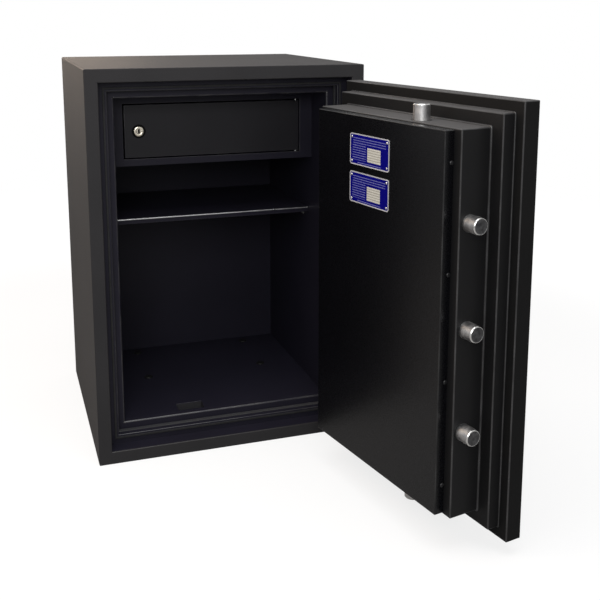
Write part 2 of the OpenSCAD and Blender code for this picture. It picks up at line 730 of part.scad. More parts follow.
// Case round the boltwork: four walls, and a face that turns out again as an upstand for the cover
module bolt_case() color(steel_grey) swung() difference() {
    union() {
        difference() {
            soft_block(case_x0, case_x1, y_front + step_v, y_front + case_v, case_z0, case_z1, door_fold_r);
            back_edges(case_x0, case_x1, case_z0, case_z1, y_front + case_v, door_fold_r);
            block(case_x0 + door_sheet, case_x1 - door_sheet, y_front + step_v - 1, y_front + case_v - door_sheet,
                case_z0 + door_sheet, case_z1 - door_sheet);
        }
        difference() {
            cover_inside(y_front + case_v - door_sheet, y_front + case_v + upstand_h, 0);
            cover_inside(y_front + case_v - door_sheet - 1, y_front + case_v + cover_t, door_sheet);
        }
    }
    cover_inside(y_front + case_v - door_sheet - 1, y_front + case_v + 1, door_sheet);
    for (z = side_bolt_zs) translate([case_x0 - 1, y_front + bolt_v, z]) rotate([0, 90, 0])
        cylinder(d = bolt_d + 6, h = door_sheet + 2);
    for (z = [case_z0 - 1, case_z1 - door_sheet - 1]) translate([axis_x, y_front + bolt_v, z])
        cylinder(d = bolt_d + 6, h = door_sheet + 2);
    cover_screw_axes() translate([0, 0, -5]) cylinder(d = screw_d, h = 20);
}

// The space inside the cover's walls, less an inset
module cover_inside(y0, y1, inset) {
    e = cover_sheet + inset;
    block(case_x0 + cover_in + e, case_x1 - cover_in - e, y0, y1, case_z0 + cover_end_in + e,
        case_z1 - cover_end_in - e);
}

// Raised tray that closes the boltwork case
module case_cover() color([0.1, 0.1, 0.11]) swung() difference() {
    soft_block(case_x0 + cover_in, case_x1 - cover_in, y_front + case_v, y_front + cover_v,
        case_z0 + cover_end_in, case_z1 - cover_end_in, cover_sheet);
    back_edges(case_x0 + cover_in, case_x1 - cover_in, case_z0 + cover_end_in, case_z1 - cover_end_in,
        y_front + cover_v, cover_sheet);
    cover_inside(y_front + case_v - 1, y_front + cover_v - cover_sheet, 0);
    cover_screw_axes() translate([0, 0, -5]) cylinder(d = screw_d, h = 20);
}

// Button-head screws through the cover's side walls into the case's upstand
module cover_screw_axes() {
    for (i = [0 : screws_a_side - 1]) {
        z = case_z0 + screw_end + i * (case_z1 - case_z0 - 2 * screw_end) / (screws_a_side - 1);
        translate([case_x0 + cover_in, y_front + case_v + upstand_h / 2, z]) rotate([0, 90, 0]) children();
        translate([case_x1 - cover_in, y_front + case_v + upstand_h / 2, z]) rotate([0, -90, 0]) children();
    }
}

module cover_screws() color(inner_black) swung() cover_screw_axes() {
    translate([0, 0, -1.2]) cylinder(d = 2 * screw_d, h = 1.2);
    translate([0, 0, -2.2]) cylinder(d1 = 1.25 * screw_d, d2 = 2 * screw_d, h = 1);
    cylinder(d = screw_d, h = cover_sheet + door_sheet + 2);
}

// Blue plates riveted to the cover; they carry nothing
module upper_plate() color([0.1, 0.12, 0.5]) swung()
    upright_plate(label_w, label_h, 5, label_x, y_front + cover_v, label_t, label_zs[0]);

module lower_plate() color([0.1, 0.12, 0.5]) swung()
    upright_plate(label_w, label_h, 5, label_x, y_front + cover_v, label_t, label_zs[1]);

module plate_rivets() color(bright) swung()
    for (z = label_zs, sx = [-1, 1], sz = [-1, 1]) {
        x = label_x + sx * (label_w / 2 - 7);
        zz = z + sz * (label_h / 2 - 7);
        rod_y(5, x, zz, y_front + cover_v + label_t, y_front + cover_v + label_t + 0.6);
        translate([x, y_front + cover_v + label_t + 0.6, zz]) rotate([-90, 0, 0]) cylinder(d1 = 5, d2 = 3, h = 0.8);
    }

// Bushes pressed into the case's wall, in which the side bolts slide
module side_bolt_guides() color(bright) swung()
    for (z = side_bolt_zs) translate([case_x0, y_front + bolt_v, z]) rotate([0, 90, 0]) bolt_guide();

// The bolt's end leaves at Z = 0 and the bolt comes in from +Z
module bolt_guide() difference() {
    cylinder(d = bolt_d + 6, h = door_sheet + guide_l);
    translate([0, 0, -1]) cylinder(d = bolt_d + 2 * run_gap, h = door_sheet + guide_l + 2);
}

module end_bolt_guides() color(bright) swung() {
    translate([axis_x, y_front + bolt_v, case_z0]) bolt_guide();
    translate([axis_x, y_front + bolt_v, case_z1]) mirror([0, 0, 1]) bolt_guide();
}

// A bolt with a chamfered end at Z = 0 that runs to +Z
module bolt(l) {
    cylinder(d1 = bolt_d - 4, d2 = bolt_d, h = 2);
    translate([0, 0, 2]) cylinder(d = bolt_d, h = l - 2);
}

// Each side bolt ends in a stud that passes through the carriage and takes a nut
module side_bolts() color(bright) swung()
    for (z = side_bolt_zs) translate([case_x0 - side_reach, y_front + bolt_v, z]) rotate([0, 90, 0]) {
        bolt(side_bolt_l);
        translate([0, 0, side_bolt_l]) cylinder(d = stud_d, h = carriage_t + nut_h + 2);
    }

module bolt_nuts() color(bright) swung()
    for (z = side_bolt_zs) translate([carriage_x - throw + carriage_t, y_front + bolt_v, z]) rotate([0, 90, 0])
        difference() {
            cylinder(d = nut_d, h = nut_h, $fn = 6);
            translate([0, 0, -1]) cylinder(d = stud_d, h = nut_h + 2);
        }

// Carriage: an upright bar behind the three side bolts, with an arm whose rack lies on the pinion
module bolt_carriage() color("gray") swung() {
    x0 = carriage_x - throw;
    difference() {
        block(x0, x0 + carriage_t, y_front + arm_v, y_front + bolt_v + bolt_d / 2 - 2,
            mid_z - carriage_h / 2, mid_z + carriage_h / 2);
        for (z = side_bolt_zs) translate([x0 - 1, y_front + bolt_v, z]) rotate([0, 90, 0])
            cylinder(d = stud_d, h = carriage_t + 2);
    }
    difference() {
        block(x0 + carriage_t, arm_x1, y_front + arm_v, y_front + arm_v + rack_t,
            mid_z + pitch_r - tooth_m, mid_z + pitch_r + rack_deep + rack_bar);
        translate([axis_x, y_front + arm_v - 1, mid_z + pitch_r])
            rotate([-90, 0, 0]) rotate([0, 0, 180]) rack_spaces(rack_t + 2);
        block(x0 + carriage_t, axis_x - rack_l + 10, y_front, y_front + cover_v,
            mid_z, mid_z + pitch_r + rack_deep);
    }
}

// The spaces of a rack along X whose pitch line is Y = 0 and whose body lies at +Y, cut to depth t
module rack_spaces(t) {
    pitch = PI * tooth_m;
    n = ceil(rack_l / pitch) + 2;
    half = pitch / 4 + backlash / 4;
    slope = tan(20);
    linear_extrude(t) for (i = [-n : n]) translate([i * pitch, 0]) polygon([
        [-half - (tooth_m + 1) * slope, -tooth_m - 1], [half + (tooth_m + 1) * slope, -tooth_m - 1],
        [half - rack_deep * slope, rack_deep], [-half + rack_deep * slope, rack_deep]
    ]);
}

// Outline of the pinion: involute flanks from the base circle to the tip, straight below it
base_r = pitch_r * cos(20);
function inv(a) = tan(a) - a * PI / 180;
function half_tooth(r) =
    (90 / pinion_z) - (backlash / 4 / r) * 180 / PI + (inv(20) - inv(acos(base_r / r))) * 180 / PI;
function flank(s) = [for (i = [0 : 4]) let(r = base_r + (tip_r - base_r) * i / 4) [r, s * half_tooth(r)]];
function polar(p, a) = [p[0] * cos(a + p[1]), p[0] * sin(a + p[1])];
function pinion_outline() = [
    for (k = [0 : pinion_z - 1]) let(
        a = k * 360 / pinion_z,
        rise = flank(-1),
        fall = flank(1),
        side = concat([[root_r, -half_tooth(base_r)]], rise, [for (i = [4 : -1 : 0]) fall[i]],
            [[root_r, half_tooth(base_r)]])
    ) for (p = side) polar(p, a)
];

module drive_pinion() color(bright) swung() difference() {
    translate([axis_x, y_front + pinion_v1, mid_z]) rotate([90, 0, 0])
        linear_extrude(pinion_v1 - pinion_v0) polygon(pinion_outline());
    rod_y(spindle_d - 4, axis_x, mid_z, y_front, y_front + cover_v);
}

// Spindle: round through the door, with a smaller end that the pinion is fixed on
module handle_spindle() color(bright) swung() {
    rod_y(spindle_d, axis_x, mid_z, y_front - lever_out + 8, y_front + pinion_v0);
    rod_y(spindle_d - 4, axis_x, mid_z, y_front + pinion_v0, y_front + pinion_v1 + 6);
}

module pinion_washer() color(bright) swung() difference() {
    union() {
        rod_y(spindle_d + 8, axis_x, mid_z, y_front + pinion_v1, y_front + pinion_v1 + 2);
        translate([axis_x, y_front + pinion_v1 + 2, mid_z]) rotate([-90, 0, 0])
            cylinder(d = spindle_d + 4, h = 6, $fn = 6);
    }
    rod_y(spindle_d - 4, axis_x, mid_z, y_front + pinion_v1 - 1, y_front + pinion_v1 + 6);
}

// Bush through the door, with a flange against the floor of the case
module spindle_bush() color(brass) swung() difference() {
    union() {
        rod_y(bush_d, axis_x, mid_z, y_front, y_front + step_v);
        rod_y(bush_d + 12, axis_x, mid_z, y_front + step_v, y_front + pinion_v0 - slide_gap);
    }
    rod_y(spindle_d + 2 * run_gap, axis_x, mid_z, y_front - 1, y_front + pinion_v0);
}

// Top and bottom rods: flat bars whose racks lie on either side of the pinion
module end_rod() difference() {
    union() {
        // bar beside the pinion, from below its axis up to the bolt's foot
        block(pitch_r - tooth_m, pitch_r + rod_w - tooth_m, rod_v, rod_v + rack_t,
            -rack_l + throw + 8, rod_top - mid_z);
        // foot that carries the bolt
        block(-bolt_d / 2 + 4, pitch_r + rod_w - tooth_m, rod_v, bolt_v + 6, rod_top - mid_z - rod_foot,
            rod_top - mid_z);
    }
    translate([pitch_r, rod_v - 1, 0]) rotate([-90, 0, 0]) rotate([0, 0, -90]) rack_spaces(rack_t + 2);
    block(0, pitch_r + rack_deep, rod_v - 1, rod_v + rack_t + 1, rack_l - throw + 10, rod_top - mid_z - rod_foot - 6);
}

module top_rod() color("gray") swung() difference() {
    translate([axis_x, y_front, mid_z]) end_rod();
    // notch that the lock's bolt enters
    block(lock_x0 - 2 - lock_throw, lock_x0, y_front, y_front + cover_v,
        lock_z - lock_bolt_h / 2 - slide_gap, lock_z + lock_bolt_h / 2 + slide_gap);
}

module bottom_rod() color("gray") swung()
    translate([axis_x, y_front, mid_z]) rotate([0, 180, 0]) end_rod();

module top_bolt() color(bright) swung()
    translate([axis_x, y_front + bolt_v, case_z1 + side_reach]) mirror([0, 0, 1]) bolt(end_bolt_l);

module bottom_bolt() color(bright) swung()
    translate([axis_x, y_front + bolt_v, case_z0 - side_reach]) bolt(end_bolt_l);

// Guides that hold the two rods against the floor of the case
module rod_guides() color(brass) swung()
    for (s = [1, -1]) translate([axis_x, y_front + step_v, mid_z + s * guide_far]) {
        x0 = s > 0 ? pitch_r - tooth_m : -pitch_r + tooth_m - rod_w;
        difference() {
            block(x0 - 8, x0 + rod_w + 8, 0, rod_v - step_v + rack_t + 5, -9, 9);
            block(x0 - slide_gap, x0 + rod_w + slide_gap, rod_v - step_v - slide_gap,
                rod_v - step_v + rack_t + slide_gap, -10, 10);
        }
    }

// Key lock screwed to the floor of the case; its bolt slides into the top rod's notch
module lock_case() color(brass) swung() difference() {
    block(lock_x0, lock_x0 + lock_w, y_front + step_v, y_front + step_v + lock_t,
        lock_z - lock_h / 2, lock_z + lock_h / 2);
    block(lock_x0 - 1, lock_x0 + lock_w - 6, y_front + rod_v - slide_gap, y_front + rod_v + lock_bolt_t + slide_gap,
        lock_z - lock_bolt_h / 2 - slide_gap, lock_z + lock_bolt_h / 2 + slide_gap);
    // room for the crank's disc and for its pin above and below the bolt
    rod_y(crank_well_d, key_x, lock_z, y_front + step_v - 1, y_front + rod_v + lock_bolt_t + slide_gap);
    lock_screw_axes() cylinder(d = screw_d, h = lock_t + 2);
}

module lock_screw_axes() {
    for (sx = [-1, 1], sz = [-1, 1])
        translate([key_x + sx * (lock_w / 2 - 8), y_front + step_v, lock_z + sz * (lock_h / 2 - 8)])
            rotate([-90, 0, 0]) children();
}

module lock_screws() color(bright) swung() lock_screw_axes() {
    cylinder(d = screw_d, h = lock_t);
    translate([0, 0, lock_t]) cylinder(d = 2 * screw_d, h = 2);
}

// At rest the bolt is drawn; the crank's pin stands in its slot and throws it to the left
module lock_bolt() color(brass) swung() difference() {
    block(lock_x0 - 1, lock_x0 + lock_w - 8, y_front + rod_v, y_front + rod_v + lock_bolt_t,
        lock_z - lock_bolt_h / 2, lock_z + lock_bolt_h / 2);
    slot_w = crank_pin_d + 2 * crank_play;
    block(key_x + lock_throw / 2 - slot_w / 2, key_x + lock_throw / 2 + slot_w / 2,
        y_front + rod_v - 1, y_front + rod_v + lock_bolt_t + 1,
        lock_z + crank_r * cos(key_turn / 2) - slot_w / 2, lock_z + lock_bolt_h / 2 + 1);
}

// Fixed cylinder through the door, with a head outside
module key_cylinder() color(bright) swung() difference() {
    union() {
        rod_y(cylinder_d, key_x, lock_z, y_front, y_front + step_v);
        translate([key_x, y_front - cylinder_head_t, lock_z]) rotate([-90, 0, 0])
            cylinder(d1 = cylinder_head_d - 4, d2 = cylinder_head_d, h = cylinder_head_t);
    }
    rod_y(plug_d + 2 * run_gap, key_x, lock_z, y_front - cylinder_head_t - 1, y_front + step_v + 1);
}

// The plug that the key turns; its slot stands upright at rest
module key_plug() color(bright) swung() difference() {
    rod_y(plug_d, key_x, lock_z, y_front - cylinder_head_t, y_front + crank_v);
    block(key_x - 1.2, key_x + 1.2, y_front - cylinder_head_t - 1, y_front + 20, lock_z - 4.5, lock_z + 4.5);
}

// Crank on the plug's end: a heavy disc with a pin that stands in the bolt's slot
module key_crank() color(bright) swung() {
    rod_y(crank_disc_d, key_x, lock_z, y_front + crank_v, y_front + crank_v + crank_t);
    rod_y(crank_pin_d, key_x + lock_throw / 2, lock_z + crank_r * cos(key_turn / 2),
        y_front + crank_v + crank_t, y_front + rod_v + lock_bolt_t);
}

// Outside fittings: lever handle on its rose
module handle_rose() color(bright) swung() difference() {
    translate([axis_x, y_front, mid_z]) rotate([90, 0, 0]) rotate_extrude() polygon([
        [0, 0], [rose_d / 2, 0], [rose_d / 2, rose_t - 5], [rose_d / 2 - 4, rose_t - 2],
        [spindle_d / 2 + 6, rose_t], [0, rose_t]
    ]);
    rod_y(spindle_d + 2 * run_gap, axis_x, mid_z, y_front - rose_t - 1, y_front + 1);
}

module handle_lever() color(bright) swung() difference() {
    translate([axis_x, y_front - rose_t - slide_gap, mid_z]) rotate([90, 0, 0]) {
        hub_h = lever_out - rose_t - slide_gap;
        cylinder(d = lever_w + 6, h = hub_h);
        translate([0, 0, hub_h - lever_t]) linear_extrude(lever_t) {
            polygon([[0, lever_w / 2], [0, -lever_w / 2], [lever_l - 9, -9], [lever_l - 9, 9]]);
            translate([lever_l - 9, 0]) circle(9);
        }
    }
    rod_y(spindle_d, axis_x, mid_z, y_front - lever_out + 8, y_front);
}

outer_wrapper();
back_panel();
front_jamb();
rear_jamb();
smoke_seal();
fire_seal();
wall_fill();
liner_left();
liner_right();
liner_roof();
liner_floor();
liner_back();
side_bolt_keepers();
end_bolt_keepers();
anchor_plugs();
frame_hinges();
hinge_pins();
shelf_brackets();
shelf();
locker_case();
locker_frame();
locker_pins();
locker_door();
locker_lock_body();
locker_lock_nut();
locker_lock_plug();
locker_cam();
door_front_pan();
door_fill();
door_step_pan();
bolt_case();
case_cover();
cover_screws();
upper_plate();
lower_plate();
plate_rivets();
door_hinges();
side_bolt_guides();
end_bolt_guides();
rod_guides();
spindle_bush();
handle_rose();
handle_lever();
handle_spindle();
drive_pinion();
pinion_washer();
bolt_carriage();
side_bolts();
top_rod();
top_bolt();
bottom_rod();
bottom_bolt();
bolt_nuts();
lock_case();
lock_screws();
lock_bolt();
key_cylinder();
key_plug();
key_crank();
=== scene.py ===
"""Looks of a free-standing fire-resistant safe that stands open: a dark powder-coated cabinet with
a stepped jamb, a shelf and a small locker, and a thick stepped door with round steel bolts, a lever
handle and a key cylinder."""
import json
import math

import bpy
from mathutils import Matrix, Vector


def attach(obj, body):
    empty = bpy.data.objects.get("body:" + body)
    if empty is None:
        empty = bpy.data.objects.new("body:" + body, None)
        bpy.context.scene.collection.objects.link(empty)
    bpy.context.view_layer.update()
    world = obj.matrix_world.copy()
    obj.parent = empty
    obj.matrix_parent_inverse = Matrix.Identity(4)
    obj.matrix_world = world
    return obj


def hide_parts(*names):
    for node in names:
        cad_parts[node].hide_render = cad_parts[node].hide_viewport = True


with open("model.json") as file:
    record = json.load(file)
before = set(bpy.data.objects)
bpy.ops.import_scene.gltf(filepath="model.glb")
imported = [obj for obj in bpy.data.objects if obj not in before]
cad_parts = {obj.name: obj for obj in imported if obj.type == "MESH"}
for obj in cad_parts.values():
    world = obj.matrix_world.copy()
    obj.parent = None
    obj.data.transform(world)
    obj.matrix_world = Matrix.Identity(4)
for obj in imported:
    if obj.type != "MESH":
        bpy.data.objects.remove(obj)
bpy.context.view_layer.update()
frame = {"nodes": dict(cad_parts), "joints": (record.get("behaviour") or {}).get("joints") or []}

# Cabinet wrapper: one steel sheet folded round the sides, roof and base, turned in at the front as
# the lip. Its folds are rounded by the press, and the whole sheet is powder-coated in a dark satin
# grey. The lip's inner folds are painted a little lighter, a painted highlight along them.
cabinet_grey = (0.0212, 0.0206, 0.0222)
cabinet_highlight_grey = (0.03, 0.0285, 0.028)
highlight_x, highlight_foot, highlight_head = 0.3, 0.02, 0.86
square_on = 0.99  # a face this squarely along an axis is one of the flat ones


def hold(piece):
    """Selects one piece alone."""
    bpy.ops.object.select_all(action="DESELECT")
    piece.select_set(True)
    bpy.context.view_layer.objects.active = piece


def put_on(piece, kind, **settings):
    """Adds a modifier and applies it."""
    hold(piece)
    modifier = piece.modifiers.new(kind.lower(), kind)
    for key, value in settings.items():
        setattr(modifier, key, value)
    bpy.ops.object.modifier_apply(modifier=modifier.name)


def round_edges(piece, rounding, segments):
    """Rounds every edge where the faces turn by more than 35 degrees."""
    put_on(piece, "BEVEL", width=rounding, segments=segments, limit_method="ANGLE",
           angle_limit=math.radians(35))


def ease_edges(piece, rounding, segments=2):
    """Rounds the sharp edges a little and keeps the flat faces flat."""
    round_edges(piece, rounding, segments)
    bpy.ops.object.shade_smooth_by_angle(angle=math.radians(42))
    put_on(piece, "WEIGHTED_NORMAL", keep_sharp=True)


def pressed(node, name, rounding, segments=2):
    """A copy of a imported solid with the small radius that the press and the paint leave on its
    edges. Its loose triangles are merged into whole faces first."""
    piece = bpy.data.objects.new(name, frame["nodes"][node].data.copy())
    bpy.context.scene.collection.objects.link(piece)
    hold(piece)
    bpy.ops.object.mode_set(mode="EDIT")
    bpy.ops.mesh.select_all(action="SELECT")
    bpy.ops.mesh.remove_doubles(threshold=0.00001)
    bpy.ops.mesh.dissolve_limited(angle_limit=math.radians(0.5))
    bpy.ops.object.mode_set(mode="OBJECT")
    ease_edges(piece, rounding, segments)
    return piece


def add_node(finish, kind, inputs=None, **settings):
    """Adds one node to a material; an input is a number, a colour or another node's output."""
    made = finish.node_tree.nodes.new("ShaderNode" + kind)
    for key, value in settings.items():
        setattr(made, key, value)
    for key, value in (inputs or {}).items():
        if isinstance(value, bpy.types.NodeSocket):
            finish.node_tree.links.new(value, made.inputs[key])
        else:
            made.inputs[key].default_value = value
    return made


def new_finish(name, **sockets):
    """A material, its shader, and the place on the piece that its patterns read."""
    finish = bpy.data.materials.new(name)
    finish.use_nodes = True
    shader = finish.node_tree.nodes["Principled BSDF"]
    for key, value in sockets.items():
        shader.inputs[key.replace("_", " ")].default_value = value
    return finish, shader, add_node(finish, "TexCoord").outputs["Object"]


def set_look(finish, shader, colour=None, roughness=None, height=None, depth=0.0001, strength=0.3):
    """Joins the patterns of a finish to its shader; depth is that of its bumps, in metres."""
    join = finish.node_tree.links.new
    if colour:
        join(colour, shader.inputs["Base Color"])
    if roughness:
        join(roughness, shader.inputs["Roughness"])
    if height:
        bump = add_node(finish, "Bump", {"Height": height, "Strength": strength, "Distance": depth})
        join(bump.outputs["Normal"], shader.inputs["Normal"])
    return finish


def noise(finish, place, scale, detail=2.0):
    """A cloudy pattern with about so many spots to the metre."""
    return add_node(finish, "TexNoise",
                    {"Vector": place, "Scale": scale, "Detail": detail}).outputs["Fac"]


def between(finish, factor, low, high):
    """Spreads the middle of a pattern over two numbers."""
    return add_node(finish, "MapRange", {"Value": factor, "From Min": 0.3, "From Max": 0.7,
                                         "To Min": low, "To Max": high}).outputs["Result"]


def two_tones(finish, factor, dark, light, start=0.3, end=0.7):
    """Spreads the middle of a pattern over two colours."""
    ramp = add_node(finish, "ValToRGB", {"Fac": factor})
    for stop, at, tint in zip(ramp.color_ramp.elements, (start, end), (dark, light)):
        stop.position = at
        stop.color = (*tint, 1)
    return ramp.outputs["Color"]


def shade(colour, factor):
    """The colour made darker or lighter."""
    return tuple(min(1.0, part * factor) for part in colour)


def mottled(finish, factor, colour, darker, lighter, start=0.3, end=0.7):
    """Spreads the middle of a pattern over two shades of one colour."""
    return two_tones(finish, factor, shade(colour, darker), shade(colour, lighter), start, end)


def blend(finish, factor, one, other):
    """Mixes two colours."""
    return add_node(finish, "MixRGB",
                    {"Fac": factor, "Color1": one, "Color2": other}).outputs["Color"]


def powder_coat(name, colour, roughness, shine):
    """Baked powder paint: a fine orange peel under a faint cloudiness and speck."""
    finish, shader, place = new_finish(name, Specular_IOR_Level=shine)
    cloud = noise(finish, place, 7.0, 4.0)
    speck = noise(finish, place, 650.0)
    body = mottled(finish, cloud, colour, 0.86, 1.14)
    grain = mottled(finish, speck, colour, 0.7, 1.35)
    return set_look(finish, shader, blend(finish, 0.35, body, grain),
                    between(finish, speck, roughness - 0.05, roughness + 0.07),
                    noise(finish, place, 420.0, 3.0), depth=0.00022, strength=0.35)


def highlight_and_scuff_coat(name, colour, bare, shine=0.5):
    """Two tones of one paint spread by patches, the second lighter and smoother. On the folds the
    lighter tone is a painted highlight; on the screws it is their own scuffed black.
    """
    finish, shader, place = new_finish(name, Specular_IOR_Level=shine)
    patch_noise = noise(finish, place, 26.0, 5.0)
    return set_look(finish, shader, two_tones(finish, patch_noise, colour, bare, 0.35, 0.65),
                    between(finish, patch_noise, 0.38, 0.26), noise(finish, place, 500.0))


def carried(piece, body, slot, *nodes):
    """Gives a new piece its body and hides the solids that it stands for; the slot is not used."""
    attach(piece, body)
    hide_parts(*nodes)


def finished(piece, finish, body=None, slot=None, *nodes):
    """Gives a piece its finish and, if it is a new piece, what carries it and what it replaces."""
    piece.data.materials.clear()
    piece.data.materials.append(finish)
    if body:
        carried(piece, body, slot, *nodes)
    return piece


def coat_faces(piece, finish, test):
    """Gives the faces that pass the test one more finish."""
    piece.data.materials.append(finish)
    for face in piece.data.polygons:
        if test(face):
            face.material_index = len(piece.data.materials) - 1


def highlight_folds(piece, rim, turn=0.0):
    """Gives the rounded folds, whose faces look along none of the sheet's axes, their lighter
    finish, which paints a highlight along them.
    """
    back = Matrix.Rotation(-turn, 3, "Z")
    coat_faces(piece, rim,
               lambda face: max(abs(part) for part in back @ face.normal) < square_on)


cabinet_coat = powder_coat("cabinet_coat", cabinet_grey, 0.66, 0.2)
cabinet_rim = highlight_and_scuff_coat("cabinet_edge_highlight", cabinet_grey, cabinet_highlight_grey, 0.25)
wrapper = pressed("outer_wrapper", "cabinet_wrapper", 0.0005)
finished(wrapper, cabinet_coat, "cabinet", "cabinet_paint", "outer_wrapper")
highlight_folds(wrapper, cabinet_rim)
# only the folds round the lip keep the painted highlight; the rest go back to the plain coat
for face in wrapper.data.polygons:
    if abs(face.center.x) > highlight_x or not highlight_foot < face.center.z < highlight_head:
        face.material_index = 0

# Back panel: a flat steel sheet that closes the wrapper from behind. It is welded in all round and
# powder-coated together with the wrapper.
finished(pressed("back_panel", "cabinet_back", 0.0012, 3), cabinet_coat,
         "cabinet", "cabinet_paint", "back_panel")

# Stepped jamb: two folded frames, one behind the other, that the door's steps close into. They are
# coated with the same powder paint as the inside of the cabinet, a satin near-black, and their
# folds are painted lighter as a painted highlight.
inner_black = (0.0122, 0.0113, 0.0188)
inner_highlight_grey = (0.04, 0.039, 0.042)
inner_coat = powder_coat("inner_coat", inner_black, 0.46, 0.16)
inner_rim = highlight_and_scuff_coat("inner_edge_highlight", inner_black, inner_highlight_grey)
for node, name in (("front_jamb", "jamb_first_step"), ("rear_jamb", "jamb_second_step")):
    highlight_folds(finished(pressed(node, name, 0.0004), inner_coat, "cabinet", "inner_paint", node),
              inner_rim)

# Seals: a thin smoke seal of soft black rubber on the first step, and a swelling strip of dark grey
# graphite foil glued along the second step.
rubber_black = (0.012, 0.012, 0.013)
graphite_grey = (0.03, 0.03, 0.032)
rubber, shader, place = new_finish("seal_rubber", Specular_IOR_Level=0.3)
set_look(rubber, shader, mottled(rubber, noise(rubber, place, 90.0, 3.0), rubber_black, 0.8, 1.3),
         between(rubber, noise(rubber, place, 300.0), 0.62, 0.78), noise(rubber, place, 900.0))
graphite, shader, place = new_finish("graphite_strip", Specular_IOR_Level=0.4)
flakes = add_node(graphite, "TexVoronoi", {"Vector": place, "Scale": 900.0}).outputs["Distance"]
set_look(graphite, shader, mottled(graphite, flakes, graphite_grey, 0.7, 1.5, 0.1, 0.8),
         between(graphite, noise(graphite, place, 60.0), 0.45, 0.65), flakes)
finished(pressed("smoke_seal", "jamb_smoke_seal", 0.0009, 3), rubber,
         "cabinet", "seal_strip", "smoke_seal")
finished(pressed("fire_seal", "jamb_fire_seal", 0.0005), graphite,
         "cabinet", "seal_strip", "fire_seal")

# Fire filling of the cabinet and of the door: a pale cast compound with fine aggregate and small
# pits, poured between the sheets and hidden by them.
fill_grey = (0.5, 0.49, 0.46)
cast_fill, shader, place = new_finish("cast_fill", Specular_IOR_Level=0.2)
stones = add_node(cast_fill, "TexVoronoi", {"Vector": place, "Scale": 240.0}).outputs["Distance"]
pits = noise(cast_fill, place, 130.0, 5.0)
cast_tone = blend(cast_fill, 0.5, mottled(cast_fill, stones, fill_grey, 0.75, 1.0, 0.1, 0.6),
                  mottled(cast_fill, pits, fill_grey, 0.85, 1.15))
set_look(cast_fill, shader, cast_tone, between(cast_fill, pits, 0.8, 0.95), pits,
         depth=0.0006, strength=0.5)
for node in ("wall_fill", "door_fill"):
    finished(frame["nodes"][node], cast_fill)

# Inner liner: five thin sheets welded along their edges. The left one, the roof and the floor have
# openings for the thrown bolts.
# the liner's folds are painted lighter too, a painted highlight
for node, name in (("liner_left", "room_left"), ("liner_right", "room_right"),
                   ("liner_roof", "room_roof"), ("liner_floor", "room_floor"),
                   ("liner_back", "room_back")):
    highlight_folds(finished(pressed(node, name, 0.0004), inner_coat, "cabinet", "inner_paint", node),
              inner_rim)

# Bolt keepers: small pressed steel cups behind the liner's openings, which take the ends of the
# thrown bolts. They are coated in a dark grey, a little lighter than the inside's paint.
keeper_grey = (0.026, 0.0255, 0.028)
keeper_coat = powder_coat("keeper_coat", keeper_grey, 0.5, 0.2)
for node, name in (("side_bolt_keepers", "side_keepers"),
                   ("end_bolt_keepers", "roof_and_floor_keepers")):
    finished(pressed(node, name, 0.0004), keeper_coat, "cabinet", "inner_paint", node)

# Shelf: a thin sheet with folded front and back edges that lies loose on four zinc-plated angle
# brackets. A strip of its front edge is painted as bright bare steel, a painted highlight where the
# fold catches the light, and its folds are painted lighter as a painted highlight too.
shelf_top, shelf_front, glint_band = 0.515, -0.0945, 0.0026
front_skin, fold_depth = 0.001, 0.0012
glint_dark, glint_bright = (0.34, 0.34, 0.345), (0.62, 0.62, 0.63)
zinc_grey = (0.47, 0.47, 0.46)
facing = 0.9  # a face this nearly along an axis looks that way


def pick_faces(piece, test):
    """Selects the faces whose middle and direction pass the test, and goes into edit mode."""
    hold(piece)
    bpy.ops.object.mode_set(mode="EDIT")
    bpy.ops.mesh.select_mode(type="FACE")
    bpy.ops.mesh.select_all(action="DESELECT")
    bpy.ops.object.mode_set(mode="OBJECT")
    for face in piece.data.polygons:
        face.select = test(face.center, face.normal)
    bpy.ops.object.mode_set(mode="EDIT")


def plated(name, colour, roughness, cloud_scale=45.0, spread=0.12):
    """Plated steel: a clouded tone and the fine scratches of tumbling."""
    finish, shader, place = new_finish(name, Metallic=1.0)
    cloud = noise(finish, place, cloud_scale, 4.0)
    scratches = add_node(finish, "TexNoise", {"Vector": place, "Scale": 260.0, "Detail": 4.0,
                                              "Distortion": 2.5}).outputs["Fac"]
    return set_look(finish, shader, mottled(finish, cloud, colour, 1 - spread, 1 + spread),
                    between(finish, scratches, roughness - 0.07, roughness + 0.09),
                    scratches, depth=0.00004, strength=0.25)


shelf = finished(pressed("shelf", "shelf_sheet", 0.0004), inner_coat,
                 "shelf", "inner_paint", "shelf")
# the shelf's folds are painted lighter, a painted highlight
highlight_folds(shelf, inner_rim)
pick_faces(shelf, lambda middle, normal:
           normal.y < -facing and middle.y < shelf_front + front_skin)
bpy.ops.mesh.bisect(plane_co=(0, 0, shelf_top - glint_band), plane_no=(0, 0, 1))
bpy.ops.object.mode_set(mode="OBJECT")
# the bright steel strip along the front fold is a painted highlight
glint_steel, shader, place = new_finish("shelf_edge_glint", Metallic=0.9)
patch_noise = noise(glint_steel, place, 34.0, 5.0)
set_look(glint_steel, shader, two_tones(glint_steel, patch_noise, glint_dark, glint_bright),
         between(glint_steel, patch_noise, 0.42, 0.26), noise(glint_steel, place, 700.0), depth=0.00005)
coat_faces(shelf, glint_steel, lambda face: face.center.y < shelf_front + fold_depth
           and face.center.z > shelf_top - glint_band and face.normal.z < facing)
zinc = plated("zinc_plate", zinc_grey, 0.38)
finished(pressed("shelf_brackets", "shelf_angles", 0.0004), zinc,
         "cabinet", "zinc_steel", "shelf_brackets")

